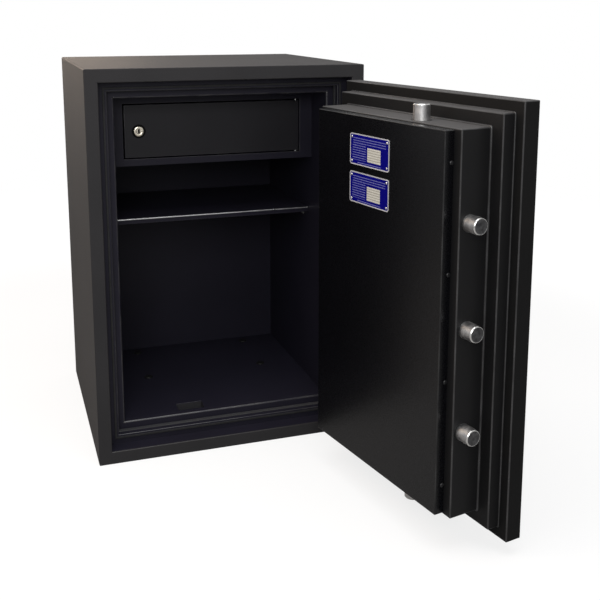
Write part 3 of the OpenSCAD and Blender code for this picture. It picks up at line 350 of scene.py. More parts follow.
# Anchor plugs: four moulded black caps that close the unused anchor holes in the floor. Each has a
# low round head with a shallow dish, and a short stem that grips the hole.
plug_black = (0.005, 0.005, 0.0052)
floor_z = 0.068
plug_spots = [(x, y) for x in (-0.15, 0.15) for y in (0.0225, 0.2025)]
moulding, shader, place = new_finish("black_moulding", Specular_IOR_Level=0.25)
set_look(moulding, shader, mottled(moulding, noise(moulding, place, 120.0), plug_black, 1.0, 1.6),
         between(moulding, noise(moulding, place, 500.0), 0.4, 0.55),
         noise(moulding, place, 1500.0), depth=0.00005)


def turned(name, rings, sides=48):
    """A piece turned on a lathe round the Z axis: a disc that is drawn up and widened ring by ring,
    as (radius, height) from its foot to its head."""
    bpy.ops.object.select_all(action="DESELECT")
    radius, height = rings[0]
    bpy.ops.mesh.primitive_circle_add(vertices=sides, radius=radius, fill_type="NGON",
                                      location=(0, 0, height))
    piece = bpy.context.object
    piece.name = name
    bpy.ops.object.transform_apply(location=True, rotation=True, scale=True)
    bpy.ops.object.mode_set(mode="EDIT")
    bpy.ops.mesh.select_all(action="SELECT")
    for next_radius, next_height in rings[1:]:
        rise, grow = next_height - height, next_radius / radius
        bpy.ops.mesh.extrude_region_move(TRANSFORM_OT_translate={"value": (0, 0, rise)})
        bpy.ops.transform.resize(value=(grow, grow, 1), center_override=(0, 0, next_height))
        radius, height = next_radius, next_height
    bpy.ops.mesh.select_all(action="SELECT")
    bpy.ops.mesh.normals_make_consistent(inside=False)
    bpy.ops.object.mode_set(mode="OBJECT")
    return piece


def settle(piece, place):
    """Moves a finished mesh to its place, so that its object stays at the origin."""
    hold(piece)
    piece.matrix_world = place
    bpy.ops.object.transform_apply(location=True, rotation=True, scale=True)
    return piece


def another(piece, name):
    """A copy with its own mesh."""
    copy = bpy.data.objects.new(name, piece.data.copy())
    bpy.context.scene.collection.objects.link(copy)
    return copy


plug = turned("floor_plug_1", [(0.0085, -0.008), (0.0087, -0.007), (0.0087, 0), (0.011, 0),
                               (0.011, 0.0013), (0.0102, 0.0024), (0.009, 0.003), (0.0072, 0.003),
                               (0.0062, 0.0024), (0.003, 0.0022)])
ease_edges(plug, 0.0002)
for number, (x, y) in zip((4, 3, 2, 1), plug_spots):
    piece = plug if number == 1 else another(plug, "floor_plug_%d" % number)
    settle(piece, Matrix.Translation((x, y, floor_z)))
    finished(piece, moulding, "cabinet", "black_plastic", "anchor_plugs")

# Outside hinges: steel halves with knuckles on the cabinet's lip and on the door's face, welded on
# and coated with them, and loose pins of bright steel with a round head.
steel_grey = (0.56, 0.55, 0.54)


def joint_place(name):
    """The point that a joint turns about or slides from."""
    return Vector(next(joint["pos_m"] for joint in frame["joints"] if joint["name"] == name))


hinge_line = joint_place("main_door_hinge")
for node, name, body in (("frame_hinges", "cabinet_hinge_halves", "cabinet"),
                         ("door_hinges", "door_hinge_halves", "main_door")):
    finished(pressed(node, name, 0.0008, 3), cabinet_coat, body, "cabinet_paint", node)
steel = plated("turned_steel", steel_grey, 0.24, 20.0, 0.05)
pin = turned("lower_hinge_pin", [(0.0042, -0.047), (0.005, -0.046), (0.005, 0.045), (0.009, 0.045),
                                 (0.009, 0.0482), (0.0082, 0.0493), (0.0062, 0.05), (0.003, 0.05)])
ease_edges(pin, 0.0003)
for name, z in (("upper_hinge_pin", 0.7), ("lower_hinge_pin", 0.18)):
    piece = pin if name == pin.name else another(pin, name)
    settle(piece, Matrix.Translation((hinge_line.x, hinge_line.y, z)))
    finished(piece, steel, "cabinet", "bolt_steel", "hinge_pins")

# Locker: a sheet box under the roof, with a framed front whose flanges are folded back, a flap-like
# door with folded edges, and two short pins that it turns on.
locker_black = (0.0125, 0.012, 0.0145)
locker_coat = powder_coat("locker_coat", locker_black, 0.44, 0.2)
# the locker's folds are painted lighter, a painted highlight
for node, name, coat, body in (("locker_case", "locker_box", inner_coat, "cabinet"),
                               ("locker_frame", "locker_front", inner_coat, "cabinet"),
                               ("locker_door", "locker_flap", locker_coat, "locker_door")):
    highlight_folds(finished(pressed(node, name, 0.0005, 3), coat, body, "inner_paint", node), inner_rim)
finished(pressed("locker_pins", "locker_hinge_pins", 0.0004), zinc,
         "cabinet", "zinc_steel", "locker_pins")

# Cam lock of the locker: a nickel-plated body with a coned face over a thin black ring, a plug with
# a keyway, a hexagon nut behind the sheet, and a flat cam that catches behind the frame.
nickel_tone = (0.68, 0.63, 0.53)
nickel = plated("satin_nickel", nickel_tone, 0.26, 60.0, 0.06)
locker_key_w, locker_key_l = 0.0046, 0.0094
keyway_depth = 0.012
into_cabinet = Matrix.Rotation(math.radians(-90), 4, "X")
lock_place = Matrix.Translation(joint_place("locker_key_turn")) @ into_cabinet


def block(name, size, middle):
    """A plain box to cut with or to shape further."""
    bpy.ops.object.select_all(action="DESELECT")
    bpy.ops.mesh.primitive_cube_add(size=1, location=middle)
    piece = bpy.context.object
    piece.name = name
    piece.scale = size
    bpy.ops.object.transform_apply(location=True, rotation=True, scale=True)
    return piece


def cut_out(piece, cutter):
    """Takes the shape of one piece out of another, and divides the flat faces that then go round a
    hole."""
    put_on(piece, "BOOLEAN", operation="DIFFERENCE", object=cutter, solver="EXACT")
    bpy.data.objects.remove(cutter)
    pick_faces(piece, lambda middle, normal: abs(normal.z) > square_on)
    bpy.ops.mesh.quads_convert_to_tris(quad_method="BEAUTY", ngon_method="BEAUTY")
    bpy.ops.object.mode_set(mode="OBJECT")


def bored(piece, radius, low, high):
    """Bores a round hole through a turned piece."""
    cut_out(piece, turned("bore", [(radius, low), (radius, high)]))


def keyed(plug, width, length, head):
    """Cuts a straight keyway into a plug's head."""
    cut_out(plug, block("keyway", (width, length, 2 * keyway_depth), (0, 0, head)))


def shade_keyway(plug, width, length):
    """Paints shade on the walls and the bottom of a keyway, deep in the slot where light hardly
    reaches:
    each of their corners lies within the slot's outline."""
    reach_x, reach_y = width / 2 + 0.0001, length / 2 + 0.0001
    corners = plug.data.vertices
    coat_faces(plug, keyway_dark, lambda face: all(
        abs(corners[v].co.x) < reach_x and abs(corners[v].co.y) < reach_y for v in face.vertices))


# the near-black of the keyway's painted shade
keyway_dark, shader, place = new_finish("keyway_shade_black", Specular_IOR_Level=0.1)
set_look(keyway_dark, shader,
         mottled(keyway_dark, noise(keyway_dark, place, 400.0), plug_black, 0.3, 0.7),
         between(keyway_dark, noise(keyway_dark, place, 700.0), 0.6, 0.8))
lock_body = turned("locker_lock_face", [(0.009, 0.016), (0.009, 0.0002), (0.0125, 0),
                                        (0.0125, -0.0006), (0.0116, -0.0022), (0.0104, -0.003),
                                        (0.0074, -0.003), (0.0068, -0.0026), (0.0061, -0.0026)])
bored(lock_body, 0.00605, -0.01, 0.03)
ease_edges(lock_body, 0.0002)
finished(settle(lock_body, lock_place), nickel, "locker_door", "lock_nickel", "locker_lock_body")
# the thin ring under the face takes the same near-black finish
ring = turned("locker_lock_ring", [(0.0158, 0), (0.0158, -0.0008), (0.015, -0.0014),
                                   (0.0124, -0.0014)])
finished(settle(ring, lock_place), keyway_dark, "locker_door", "black_plastic")
plug = turned("locker_lock_core", [(0.0058, 0.02), (0.0058, -0.0024), (0.0055, -0.0028),
                                   (0.0035, -0.0028)])
keyed(plug, locker_key_w, locker_key_l, -0.003)
ease_edges(plug, 0.0001)
finished(plug, nickel, "locker_key_works", "lock_nickel", "locker_lock_plug")
shade_keyway(plug, locker_key_w, locker_key_l)
settle(plug, lock_place)
for node, name, body in (("locker_lock_nut", "locker_lock_hexagon", "locker_door"),
                         ("locker_cam", "locker_lock_cam", "locker_key_works")):
    finished(pressed(node, name, 0.0004), zinc, body, "zinc_steel", node)

# Door pans: a deep front pan and a smaller step pan behind it, folded from sheet and welded. The
# front pan is painted a deeper black than the cabinet, as painted shade; the step pan has a black
# of its own. Their folds are painted lighter as a painted highlight, and their upper faces lighter
# as painted light from above. Only the outside of the door is coated like the cabinet.
door_angle = math.radians(101)
door_open = (Matrix.Translation(hinge_line) @ Matrix.Rotation(door_angle, 4, "Z")
             @ Matrix.Translation(-hinge_line))
pan_shade_black = (0.0048, 0.0047, 0.0048)
step_black = (0.0065, 0.0064, 0.0068)
door_highlight_grey = (0.038, 0.0375, 0.039)
# the lighter grey of the painted light on upward faces
top_light_grey = (0.062, 0.0605, 0.0613)
pan_coat = powder_coat("pan_coat", pan_shade_black, 0.66, 0.12)
step_coat = powder_coat("step_coat", step_black, 0.5, 0.16)
door_rim = highlight_and_scuff_coat("door_edge_highlight", shade(door_highlight_grey, 0.4), door_highlight_grey)
top_lit_coat = powder_coat("top_lit_coat", top_light_grey, 0.75, 0.1)


def lit_from_above(piece):
    """Paints the faces that look straight up lighter, as painted light from above."""
    coat_faces(piece, top_lit_coat, lambda face: face.normal.z > square_on)


front_pan = finished(pressed("door_front_pan", "door_outer_pan", 0.0006, 3), pan_coat,
                     "main_door", "cabinet_paint", "door_front_pan")
step_pan = finished(pressed("door_step_pan", "door_second_step", 0.0006, 3), step_coat,
                    "main_door", "step_paint", "door_step_pan")
for pan in (front_pan, step_pan):
    highlight_folds(pan, door_rim, door_angle)
    lit_from_above(pan)
outwards = Matrix.Rotation(door_angle, 3, "Z") @ Vector((0, -1, 0))
coat_faces(front_pan, cabinet_coat, lambda face: face.normal @ outwards > square_on)

# Boltwork case: four folded walls round the boltwork, with holes for the bolts, and a raised black
# tray that closes it and is held by button-head screws through its side walls. A thin painted bead
# of sealer runs along the foot of the case and of the step pan. The folds of the case and the tray,
# and the bead, are painted lighter as a painted highlight, and the case's top as painted light.
case_x, case_z, case_foot = (-0.2285, 0.2325), (0.08, 0.8), -0.2265
step_x, step_z, step_foot = (-0.2585, 0.2585), (0.054, 0.826), -0.2525
fold = 0.0025
cover_black = (0.0022, 0.0022, 0.003)
cover_highlight_grey = (0.022, 0.022, 0.0225)
screw_black = (0.02, 0.02, 0.021)
cover_coat = powder_coat("cover_coat", cover_black, 0.26, 0.3)
cover_rim = highlight_and_scuff_coat("cover_edge_highlight", cover_black, cover_highlight_grey, 0.4)
# the case's coat is the step pan's black made lighter, as painted light
case_coat = powder_coat("case_coat", shade(step_black, 1.2), 0.42, 0.16)
case = finished(pressed("bolt_case", "boltwork_case", 0.0006, 3), case_coat,
                "main_door", "step_paint", "bolt_case")
cover = finished(pressed("case_cover", "boltwork_cover", 0.0006, 3), cover_coat,
                 "main_door", "cover_paint", "case_cover")
highlight_folds(case, door_rim, door_angle)
highlight_folds(cover, cover_rim, door_angle)
lit_from_above(case)


def pick_edges(piece, test):
    """Selects the edges whose two ends pass the test, and goes into edit mode."""
    hold(piece)
    bpy.ops.object.mode_set(mode="EDIT")
    bpy.ops.mesh.select_mode(type="EDGE")
    bpy.ops.mesh.select_all(action="DESELECT")
    bpy.ops.object.mode_set(mode="OBJECT")
    for edge in piece.data.edges:
        edge.select = test(*(piece.data.vertices[v].co for v in edge.vertices))
    bpy.ops.object.mode_set(mode="EDIT")


def slab(name, wide, high, thick, corner, segments):
    """A flat piece with round corners that stands on its foot."""
    piece = block(name, (wide, high, thick), (0, 0, thick / 2))
    pick_edges(piece, lambda one, other: (one - other).to_2d().length < 1e-6)
    bpy.ops.mesh.bevel(offset=corner, segments=segments, affect="EDGES")
    bpy.ops.object.mode_set(mode="OBJECT")
    return piece


def bead(name, across, up, foot, leg):
    """A three-cornered line of sealer round a form, as a frame whose outer upper edge is rounded
    away. Leg is how far it stands out from the form and up from its foot."""
    corner = fold + leg
    wide, high = across[1] - across[0] + 2 * leg, up[1] - up[0] + 2 * leg

    def outermost(end):
        """Whether a point of the frame's top lies on its outline."""
        x, y = abs(end.x), abs(end.y)
        round_part = Vector((x, y)) - Vector((wide / 2, high / 2)) + Vector((corner, corner))
        in_corner = x > wide / 2 - fold - leg and y > high / 2 - fold - leg
        return (x > wide / 2 - leg * 0.5 or y > high / 2 - leg * 0.5
                or in_corner and round_part.length > fold + leg * 0.5)

    piece = slab(name, wide, high, leg, corner, 6)
    pick_faces(piece, lambda middle, normal: abs(normal.z) > facing)
    bpy.ops.mesh.inset(thickness=leg)
    bpy.ops.mesh.bridge_edge_loops()
    bpy.ops.object.mode_set(mode="OBJECT")
    pick_edges(piece, lambda one, other: min(one.z, other.z) > leg * 0.9
               and outermost(one) and outermost(other))
    bpy.ops.mesh.bevel(offset=leg * 0.8, segments=4, affect="EDGES")
    bpy.ops.mesh.select_all(action="SELECT")
    bpy.ops.mesh.normals_make_consistent(inside=False)
    bpy.ops.object.mode_set(mode="OBJECT")
    bpy.ops.object.shade_smooth_by_angle(angle=math.radians(50))
    middle = (sum(across) / 2, foot, sum(up) / 2)
    settle(piece, door_open @ Matrix.Translation(middle) @ into_cabinet)
    finished(piece, door_rim, "main_door", "step_paint")


bead("case_foot_bead", case_x, case_z, case_foot, 0.003)
bead("step_foot_bead", step_x, step_z, step_foot, 0.002)
blackened = highlight_and_scuff_coat("blackened_screw", cover_black, screw_black)
finished(pressed("cover_screws", "cover_button_screws", 0.0003), blackened,
         "main_door", "cover_paint", "cover_screws")

# Two plates riveted to the cover: thin aluminium, printed in glossy blue inside a bare border, with
# a pale field to write in and fine ruled lines. They carry no words.
plate_w, plate_h, plate_t, plate_corner = 0.134, 0.062, 0.001, 0.005
plate_x, cover_face = 0.0215, -0.1415
upper_plate_z, lower_plate_z = 0.73, 0.654
border, print_depth = 0.0022, 0.00012
field_x, field_z = (-0.039, 0.006), (-0.0208, 0.007)
head_rows = ((-0.056, 0.056), (0.0105, 0.0258))
side_rows = ((0.011, 0.058), (-0.021, 0.0095))
foot_rows = ((-0.04, 0.04), (-0.0275, -0.0225))
row_start, row_pitch, row_part = 0.1, 0.0048, (0.3, 0.62)
print_blue = (0.0018, 0.0014, 0.15)
row_blue = (0.2, 0.21, 0.45)
field_cream = (0.56, 0.55, 0.5)
field_line = (0.16, 0.15, 0.12)
bare_aluminium = (0.66, 0.66, 0.69)


def reckon(finish, kind, one, other):
    """One step of arithmetic with numbers and patterns."""
    return add_node(finish, "Math", {0: one, 1: other}, operation=kind).outputs["Value"]


def within(finish, value, span):
    """1 between two places and 0 elsewhere."""
    return reckon(finish, "MULTIPLY", reckon(finish, "GREATER_THAN", value, span[0]),
                  reckon(finish, "LESS_THAN", value, span[1]))


def ruled(finish, place, back):
    """Places across and up on the plate, and the rows that are ruled over all of it."""
    turn = add_node(finish, "Mapping", {"Vector": place, "Location": back.to_translation(),
                                        "Rotation": back.to_euler()}, vector_type="POINT")
    split = add_node(finish, "SeparateXYZ", {"Vector": turn.outputs["Vector"]})
    across, up = split.outputs["X"], split.outputs["Z"]
    # the rows are counted from a place below the plate, so that the count is never under 0
    counted = reckon(finish, "DIVIDE", reckon(finish, "ADD", up, row_start), row_pitch)
    rows = reckon(finish, "FRACT", counted, 0.0)
    return across, up, within(finish, rows, row_part)


def plate_finishes(node, z):
    """The bare border, the blue print with its ruled rows, and the pale field of one plate."""
    back = Matrix.Translation((-plate_x, 0, -z)) @ door_open.inverted()

    bare, shader, place = new_finish(node + "_border", Metallic=0.4)
    set_look(bare, shader, mottled(bare, noise(bare, place, 80.0), bare_aluminium, 0.9, 1.1),
             between(bare, noise(bare, place, 400.0), 0.3, 0.42), noise(bare, place, 900.0),
             depth=0.00003)

    blue, shader, place = new_finish(node + "_print", Specular_IOR_Level=0.1)
    across, up, rows = ruled(blue, place, back)
    breaks = between(blue, noise(blue, place, 420.0, 1.0), 0.35, 1.0)
    head, side, foot = (reckon(blue, "MULTIPLY", within(blue, across, wide), within(blue, up, high))
                        for wide, high in (head_rows, side_rows, foot_rows))
    area = reckon(blue, "MAXIMUM", reckon(blue, "MAXIMUM", head, side), foot)
    fade = reckon(blue, "MULTIPLY", reckon(blue, "MULTIPLY", rows, breaks), area)
    set_look(blue, shader, blend(blue, fade, (*print_blue, 1), (*row_blue, 1)),
             between(blue, noise(blue, place, 200.0), 0.3, 0.4), noise(blue, place, 700.0),
             depth=0.00003)

    cream, shader, place = new_finish(node + "_field", Specular_IOR_Level=0.3)
    across, up, rows = ruled(cream, place, back)
    paper = mottled(cream, noise(cream, place, 150.0, 4.0), field_cream, 0.88, 1.0)
    lines = reckon(cream, "MULTIPLY", rows, 0.62)
    set_look(cream, shader, blend(cream, lines, paper, (*field_line, 1)),
             between(cream, noise(cream, place, 500.0), 0.4, 0.55), noise(cream, place, 1200.0),
             depth=0.00003)
    return bare, blue, cream


def printed(middle, normal):
    """Whether a face of a plate that still lies flat belongs to the print inside its border."""
    return (normal.z > facing and abs(middle.x) < plate_w / 2 - border
            and abs(middle.y) < plate_h / 2 - border)


for name, node, z in (("upper_blue_plate", "upper_plate", upper_plate_z),
                      ("lower_blue_plate", "lower_plate", lower_plate_z)):
    plate = slab(name, plate_w, plate_h, plate_t, plate_corner, 8)
    # the printed area stands a hair below the border
    pick_faces(plate, lambda middle, normal: normal.z > facing)
    bpy.ops.mesh.inset(thickness=border, depth=-print_depth)
    for cut, along in (((field_x[0], 0, 0), (1, 0, 0)), ((field_x[1], 0, 0), (1, 0, 0)),
                       ((0, -field_z[0], 0), (0, 1, 0)), ((0, -field_z[1], 0), (0, 1, 0))):
        bpy.ops.mesh.bisect(plane_co=cut, plane_no=along)
        bpy.ops.object.mode_set(mode="OBJECT")
        pick_faces(plate, printed)
    bpy.ops.object.mode_set(mode="OBJECT")
    for finish in plate_finishes(node, z):
        plate.data.materials.append(finish)
    for face in plate.data.polygons:
        in_field = (field_x[0] < face.center.x < field_x[1]
                    and field_z[0] < -face.center.y < field_z[1])
        if printed(face.center, face.normal):
            face.material_index = 2 if in_field else 1
    settle(plate, door_open @ Matrix.Translation((plate_x, cover_face, z)) @ into_cabinet)
    carried(plate, "main_door", "blue_print", node)

# Plate rivets: eight small domed heads of bright aluminium. They are set through the corners of the
# plates, and hold them flat on the cover.
rivet_tone = (0.75, 0.74, 0.72)
rivet_x, rivet_z = 0.06, 0.024
rivet_metal = plated("rivet_metal", rivet_tone, 0.22, 300.0, 0.04)
rivet = turned("plate_rivet_1", [(0.0025, 0), (0.0025, 0.0004), (0.0022, 0.0009), (0.0016, 0.0012),
                                 (0.0008, 0.0014)], sides=20)
ease_edges(rivet, 0.0001)
spots = [(plate_x + x, plate_z + z) for plate_z in (upper_plate_z, lower_plate_z)
         for x in (-rivet_x, rivet_x) for z in (-rivet_z, rivet_z)]
for number, (x, z) in zip((8, 7, 6, 5, 4, 3, 2, 1), spots):
    piece = rivet if number == 1 else another(rivet, "plate_rivet_%d" % number)
    settle(piece, door_open @ Matrix.Translation((x, cover_face + plate_t, z)) @ into_cabinet)
    finished(piece, rivet_metal, "main_door", "rivet_metal", "plate_rivets")

# Round bolts: turned and polished steel bars with a chamfered rim and a faced end. Three stand out
# of the case's free side, one out of its top and one out of its bottom; they slide in bushes that
# are pressed into the case's walls.
bolt_r, bolt_depth = 0.016, -0.1845
rim_h, rim_w = 0.0018, 0.0024
side_bolt_l, side_stud_l, side_bolt_tip = 0.059845, 0.02, -0.259345
end_bolt_l, bottom_tip, top_tip = 0.088, 0.049155, 0.830845
handle_x = -0.0845
bar_tones = (0.36, 0.36, 0.37), (0.56, 0.55, 0.54)
# the end's dark tones are painted shade and the rim's light tones a painted highlight on one steel
end_shade_tones = (0.06, 0.06, 0.063), (0.14, 0.14, 0.143)
rim_highlight_tones = (0.55, 0.545, 0.53), (0.72, 0.71, 0.7)


def bolt_rings(length, stud):
    """From the stud behind the bolt to its faced end at height 0."""
    rings = [(0.006, length + stud), (0.006, length)] if stud else []
    return rings + [(bolt_r, length), (bolt_r, rim_h), (bolt_r - 0.0003, 0.0013),
                    (bolt_r - 0.0014, 0.0001), (bolt_r - 0.0018, 0), (bolt_r - 0.0026, 0),
                    (bolt_r - 0.0029, 0.0004), (0.004, 0.0004), (0.0012, 0.0004)]


def bolt_steels(tag, rotation, scale):
    """The turned bar with its fine grooves, the dull faced end painted much darker as painted
    shade, and the polished rim, whose lighter tone is a painted highlight.
    """
    bar, shader, place = new_finish(tag + "_bolt_bar", Metallic=1.0)
    turning = add_node(bar, "Mapping", {"Vector": place, "Rotation": rotation, "Scale": scale},
                       vector_type="POINT")
    grooves = noise(bar, turning.outputs["Vector"], 1.0)
    smear = noise(bar, place, 70.0, 4.0)
    set_look(bar, shader, two_tones(bar, smear, *bar_tones), between(bar, smear, 0.32, 0.48),
             grooves, depth=0.00025, strength=0.5)
    end, shader, place = new_finish(tag + "_bolt_end_shaded", Metallic=1.0)
    smear = noise(end, place, 160.0, 4.0)
    set_look(end, shader, two_tones(end, smear, *end_shade_tones), between(end, smear, 0.3, 0.45),
             noise(end, place, 500.0))
    rim, shader, place = new_finish(tag + "_bolt_rim_lit", Metallic=1.0)
    smear = noise(rim, place, 120.0)
    set_look(rim, shader, two_tones(rim, smear, *rim_highlight_tones), between(rim, smear, 0.12, 0.2))
    return bar, end, rim


def faced(piece, steels):
    """Gives a bolt that stands on its faced end the three looks of its steel: the bar, the middle
    of the end that looks down, and the rim round it."""
    for steel_look in steels:
        piece.data.materials.append(steel_look)
    for face in piece.data.polygons:
        radius = Vector(face.center[:2]).length
        if face.normal.z < -0.2 and face.center.z < rim_h:
            face.material_index = 1 if radius < bolt_r - rim_w else 2


side_bolt = turned("side_bolt_3", bolt_rings(side_bolt_l, side_stud_l))
ease_edges(side_bolt, 0.00025)
faced(side_bolt, bolt_steels("side", (0, 0, -door_angle), (900.0, 12.0, 12.0)))
along_x = Matrix.Rotation(math.radians(90), 4, "Y")
for number, z in ((1, 0.246), (2, 0.44), (3, 0.634)):
    piece = side_bolt if number == 3 else another(side_bolt, "side_bolt_%d" % number)
    settle(piece, door_open @ Matrix.Translation((side_bolt_tip, bolt_depth, z)) @ along_x)
    carried(piece, "side_bolt_set", "bolt_steel", "side_bolts")
end_bolt = turned("floor_bolt", bolt_rings(end_bolt_l, 0))
ease_edges(end_bolt, 0.00025)
faced(end_bolt, bolt_steels("upright", (0, 0, 0), (12.0, 12.0, 900.0)))
top_bolt = another(end_bolt, "roof_bolt")
for piece, body, node, turn, tip in ((end_bolt, "bottom_bolt_set", "bottom_bolt", 0, bottom_tip),
                                     (top_bolt, "top_bolt_set", "top_bolt", 180, top_tip)):
    over = Matrix.Rotation(math.radians(turn), 4, "X")
    settle(piece, door_open @ Matrix.Translation((handle_x, bolt_depth, tip)) @ over)
    carried(piece, body, "bolt_steel", node)
for node, name in (("side_bolt_guides", "side_bolt_bushes"),
                   ("end_bolt_guides", "end_bolt_bushes")):
    finished(pressed(node, name, 0.0006), moulding, "main_door", "black_plastic", node)

# Boltwork inside the case: the carriage, the rods with their racks, nuts, pinion, washer, spindle,
# lock screws and crank are plain zinc-plated steel. The rods' guides, the spindle's bush and the
# lock's case and bolt are brass.
brass_tone = (0.58, 0.4, 0.17)
brass = plated("plain_brass", brass_tone, 0.3, 40.0, 0.08)
for node in ("bolt_carriage", "bolt_nuts", "top_rod", "bottom_rod", "drive_pinion",
             "pinion_washer", "handle_spindle", "lock_screws", "key_crank"):
    finished(frame["nodes"][node], zinc)
for node in ("rod_guides", "spindle_bush", "lock_case", "lock_bolt"):
    finished(frame["nodes"][node], brass)

# Lever handle: satin-chromed, a round hub on the spindle and a tapered arm with rounded edges, over
# a coned rose that covers the spindle's bush.
chrome_tone = (0.62, 0.62, 0.63)
chrome = plated("satin_chrome", chrome_tone, 0.2, 25.0, 0.03)
door_face, handle_z = -0.2875, 0.44
hub_foot, hub_top = 0.0086, 0.0519
arm_l, arm_w, arm_t, arm_middle, arm_taper = 0.1275, 0.0238, 0.0139, 0.064, 0.7
out_of_door = Matrix.Rotation(math.radians(90), 4, "X")
handle_place = door_open @ Matrix.Translation((handle_x, door_face, handle_z)) @ out_of_door
rose = turned("handle_rose_plate", [(0.0289, 0), (0.0289, 0.0026), (0.0282, 0.0036),
                                    (0.025, 0.0056), (0.0165, 0.0074), (0.0145, 0.0078),
                                    (0.012, 0.0079)], sides=64)
bored(rose, 0.00805, -0.01, 0.02)
ease_edges(rose, 0.0003)
finished(settle(rose, handle_place), chrome, "main_door", "handle_chrome", "handle_rose")
lever = turned("handle_lever_arm", [(0.0135, hub_foot), (0.0148, hub_foot + 0.002), (0.0148, 0.03),
                                    (0.0138, 0.034), (0.0138, hub_top - arm_t - 0.001),
                                    (0.0149, hub_top - arm_t + 0.002), (0.0149, hub_top - 0.003),
                                    (0.0135, hub_top - 0.0008), (0.0105, hub_top),
                                    (0.006, hub_top)], sides=64)
arm = block("lever_arm", (arm_l, arm_w, arm_t), (arm_middle, 0, hub_top - arm_t / 2))
# the arm narrows towards its free end
pick_faces(arm, lambda middle, normal: normal.x > facing)
bpy.ops.transform.resize(value=(1, arm_taper, 1))
bpy.ops.object.mode_set(mode="OBJECT")
round_edges(arm, 0.0045, 5)
put_on(lever, "BOOLEAN", operation="UNION", object=arm, solver="EXACT")
bpy.data.objects.remove(arm)
ease_edges(lever, 0.0004)
finished(settle(lever, handle_place), chrome, "handle", "handle_chrome", "handle_lever")

# Key cylinder: a brass barrel through the door behind a chromed, coned head, with a turning plug
# whose keyway stands upright.
key_x, key_z = 0.000875, 0.532
key_w, key_l = 0.0022, 0.009
key_place = door_open @ Matrix.Translation((key_x, door_face, key_z)) @ out_of_door
head = turned("key_cylinder_head", [(0.013, -0.061), (0.013, 0), (0.019, 0), (0.019, 0.0012),
                                    (0.0182, 0.0028), (0.0168, 0.0038), (0.015, 0.004),
                                    (0.0085, 0.004), (0.008, 0.0036)], sides=64)
bored(head, 0.00705, -0.07, 0.01)
ease_edges(head, 0.00025)
finished(settle(head, key_place), chrome, "main_door", "handle_chrome", "key_cylinder")
plug = turned("key_cylinder_plug", [(0.007, -0.0625), (0.007, 0.0034), (0.0065, 0.0039),
                                    (0.004, 0.0039)])
keyed(plug, key_w, key_l, 0.004)
ease_edges(plug, 0.00015)
finished(plug, brass, "key_works", "brass_parts", "key_plug")
shade_keyway(plug, key_w, key_l)
settle(plug, key_place)

# Studio: a pale paper floor that keeps the object's shadow and grows white away from it, a white
# surround, and four soft lamps: a wide one overhead, one in front, a small warm one close on the
# left, and a warm one behind, like the light of a wall.
floor_pale, floor_size = (0.36, 0.36, 0.36), 60
white_near, white_far = 1.1, 3.2
mirror_near, mirror_far, mirror_strength = 2.5, 12.0, 0.75
shadow_share, near_glow, far_glow = 0.45, 1.75, 1.0
air_strength = 0.42
bpy.ops.object.select_all(action="DESELECT")
bpy.ops.mesh.primitive_plane_add(size=floor_size, location=(0, 0, 0))
floor = bpy.context.object
floor.name = "studio_floor"
ground = bpy.data.materials.new("studio_paper")
ground.use_nodes = True
paper = ground.node_tree.nodes["Principled BSDF"]
paper.inputs["Base Color"].default_value = (*floor_pale, 1)
paper.inputs["Roughness"].default_value = 0.9
paper.inputs["Specular IOR Level"].default_value = 0.0
spot = add_node(ground, "TexCoord").outputs["Object"]
away = add_node(ground, "VectorMath", {0: spot}, operation="LENGTH").outputs["Value"]
far = add_node(ground, "MapRange", {"Value": away, "From Min": white_near, "From Max": white_far},
               interpolation_type="SMOOTHSTEP").outputs["Result"]
farther = add_node(ground, "MapRange", {"Value": away, "From Min": mirror_near,
                                        "From Max": mirror_far,
                                        "To Max": mirror_strength}).outputs["Result"]
kept = add_node(ground, "MapRange", {"Value": far, "To Min": shadow_share,
                                     "To Max": 1.0}).outputs["Result"]
level = add_node(ground, "MapRange", {"Value": far, "To Min": near_glow,
                                      "To Max": far_glow}).outputs["Result"]
glow = add_node(ground, "Emission", {"Color": (1, 1, 1, 1), "Strength": level})
path = add_node(ground, "LightPath").outputs
seen = reckon(ground, "MULTIPLY", path["Is Camera Ray"], kept)
mirrored = reckon(ground, "MULTIPLY", path["Is Glossy Ray"], farther)
glow_part = reckon(ground, "MAXIMUM", seen, mirrored)
mixer = add_node(ground, "MixShader", {0: glow_part, 1: paper.outputs["BSDF"],
                                       2: glow.outputs["Emission"]})
ground.node_tree.links.new(mixer.outputs["Shader"],
                           ground.node_tree.nodes["Material Output"].inputs["Surface"])
floor.data.materials.append(ground)

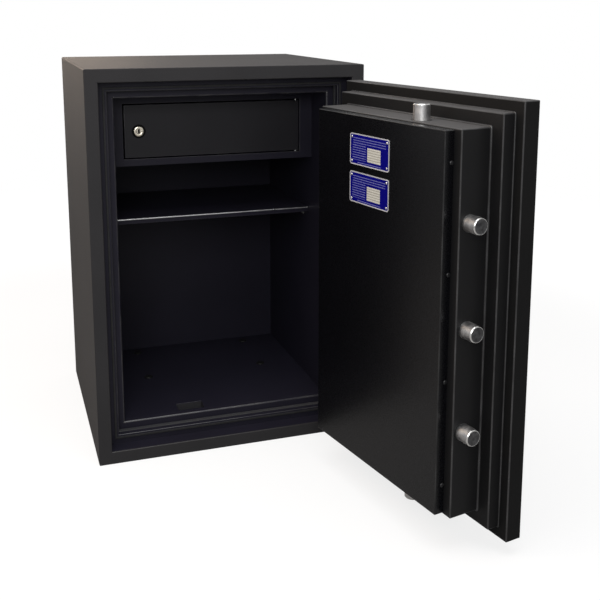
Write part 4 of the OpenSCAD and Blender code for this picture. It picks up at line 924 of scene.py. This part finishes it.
world = bpy.data.worlds.new("studio_air")
bpy.context.scene.world = world
world.use_nodes = True
path = add_node(world, "LightPath").outputs
mirror_part = (mirror_strength - air_strength) / (1 - air_strength)
mirrored = reckon(world, "MULTIPLY", path["Is Glossy Ray"], mirror_part)
shown = reckon(world, "MAXIMUM", path["Is Camera Ray"], mirrored)
through = reckon(world, "MAXIMUM", shown, path["Is Transmission Ray"])
level = add_node(world, "MapRange", {"Value": through, "To Min": air_strength,
                                     "To Max": 1.0}).outputs["Result"]
backdrop = world.node_tree.nodes["Background"]
backdrop.inputs["Color"].default_value = (1, 1, 1, 1)
world.node_tree.links.new(level, backdrop.inputs["Strength"])


def lamp(name, place, aim, size, power, tint=(1, 1, 1)):
    """A soft rectangular lamp that looks at a point and isn't seen itself."""
    light = bpy.data.lights.new(name, "AREA")
    light.shape = "RECTANGLE"
    light.size, light.size_y = size
    light.energy = power
    light.color = tint
    made = bpy.data.objects.new(name, light)
    bpy.context.scene.collection.objects.link(made)
    made.location = place
    made.rotation_euler = (Vector(aim) - Vector(place)).to_track_quat("-Z", "Y").to_euler()
    made.visible_camera = False


lamp("overhead", (-0.3, -1.2, 3.1), aim=(0.0, -0.4, 0.4), size=(2.6, 2.0), power=68)
lamp("left", (-1.3, -0.45, 1.8), aim=(-0.25, -0.1, 0.75), size=(0.8, 0.8), power=11,
     tint=(1.0, 0.76, 0.56))
lamp("front", (-0.9, -3.2, 1.75), aim=(0.0, 0.2, 0.3), size=(1.2, 1.2), power=38)
lamp("warm_wall", (-1.0, 2.3, 1.5), aim=(-0.5, 0.0, 2.6), size=(2.4, 1.3), power=42,
     tint=(1.0, 0.78, 0.6))

# Camera: it stands where the photographer's stood, a little above the safe and to its left, and
# looks slightly down. Its focal length was worked out in pixels of the square photograph.
camera_place = (-0.4934, -2.2241, 0.9927)
tilt_down, turned_right, lens_shift = 10.3, 18.61, -0.2
focal_pixels, photo_side, sensor = 915.6, 600, 36
camera_data = bpy.data.cameras.new("photo_camera")
camera = bpy.data.objects.new("photo_camera", camera_data)
bpy.context.scene.collection.objects.link(camera)
camera.location = camera_place
camera.rotation_euler = (math.radians(90 - tilt_down), 0, math.radians(-turned_right))
camera_data.sensor_width = sensor
camera_data.lens = focal_pixels / photo_side * sensor
camera_data.shift_y = lens_shift
bpy.context.scene.camera = camera
bpy.context.scene.view_settings.view_transform = "Standard"
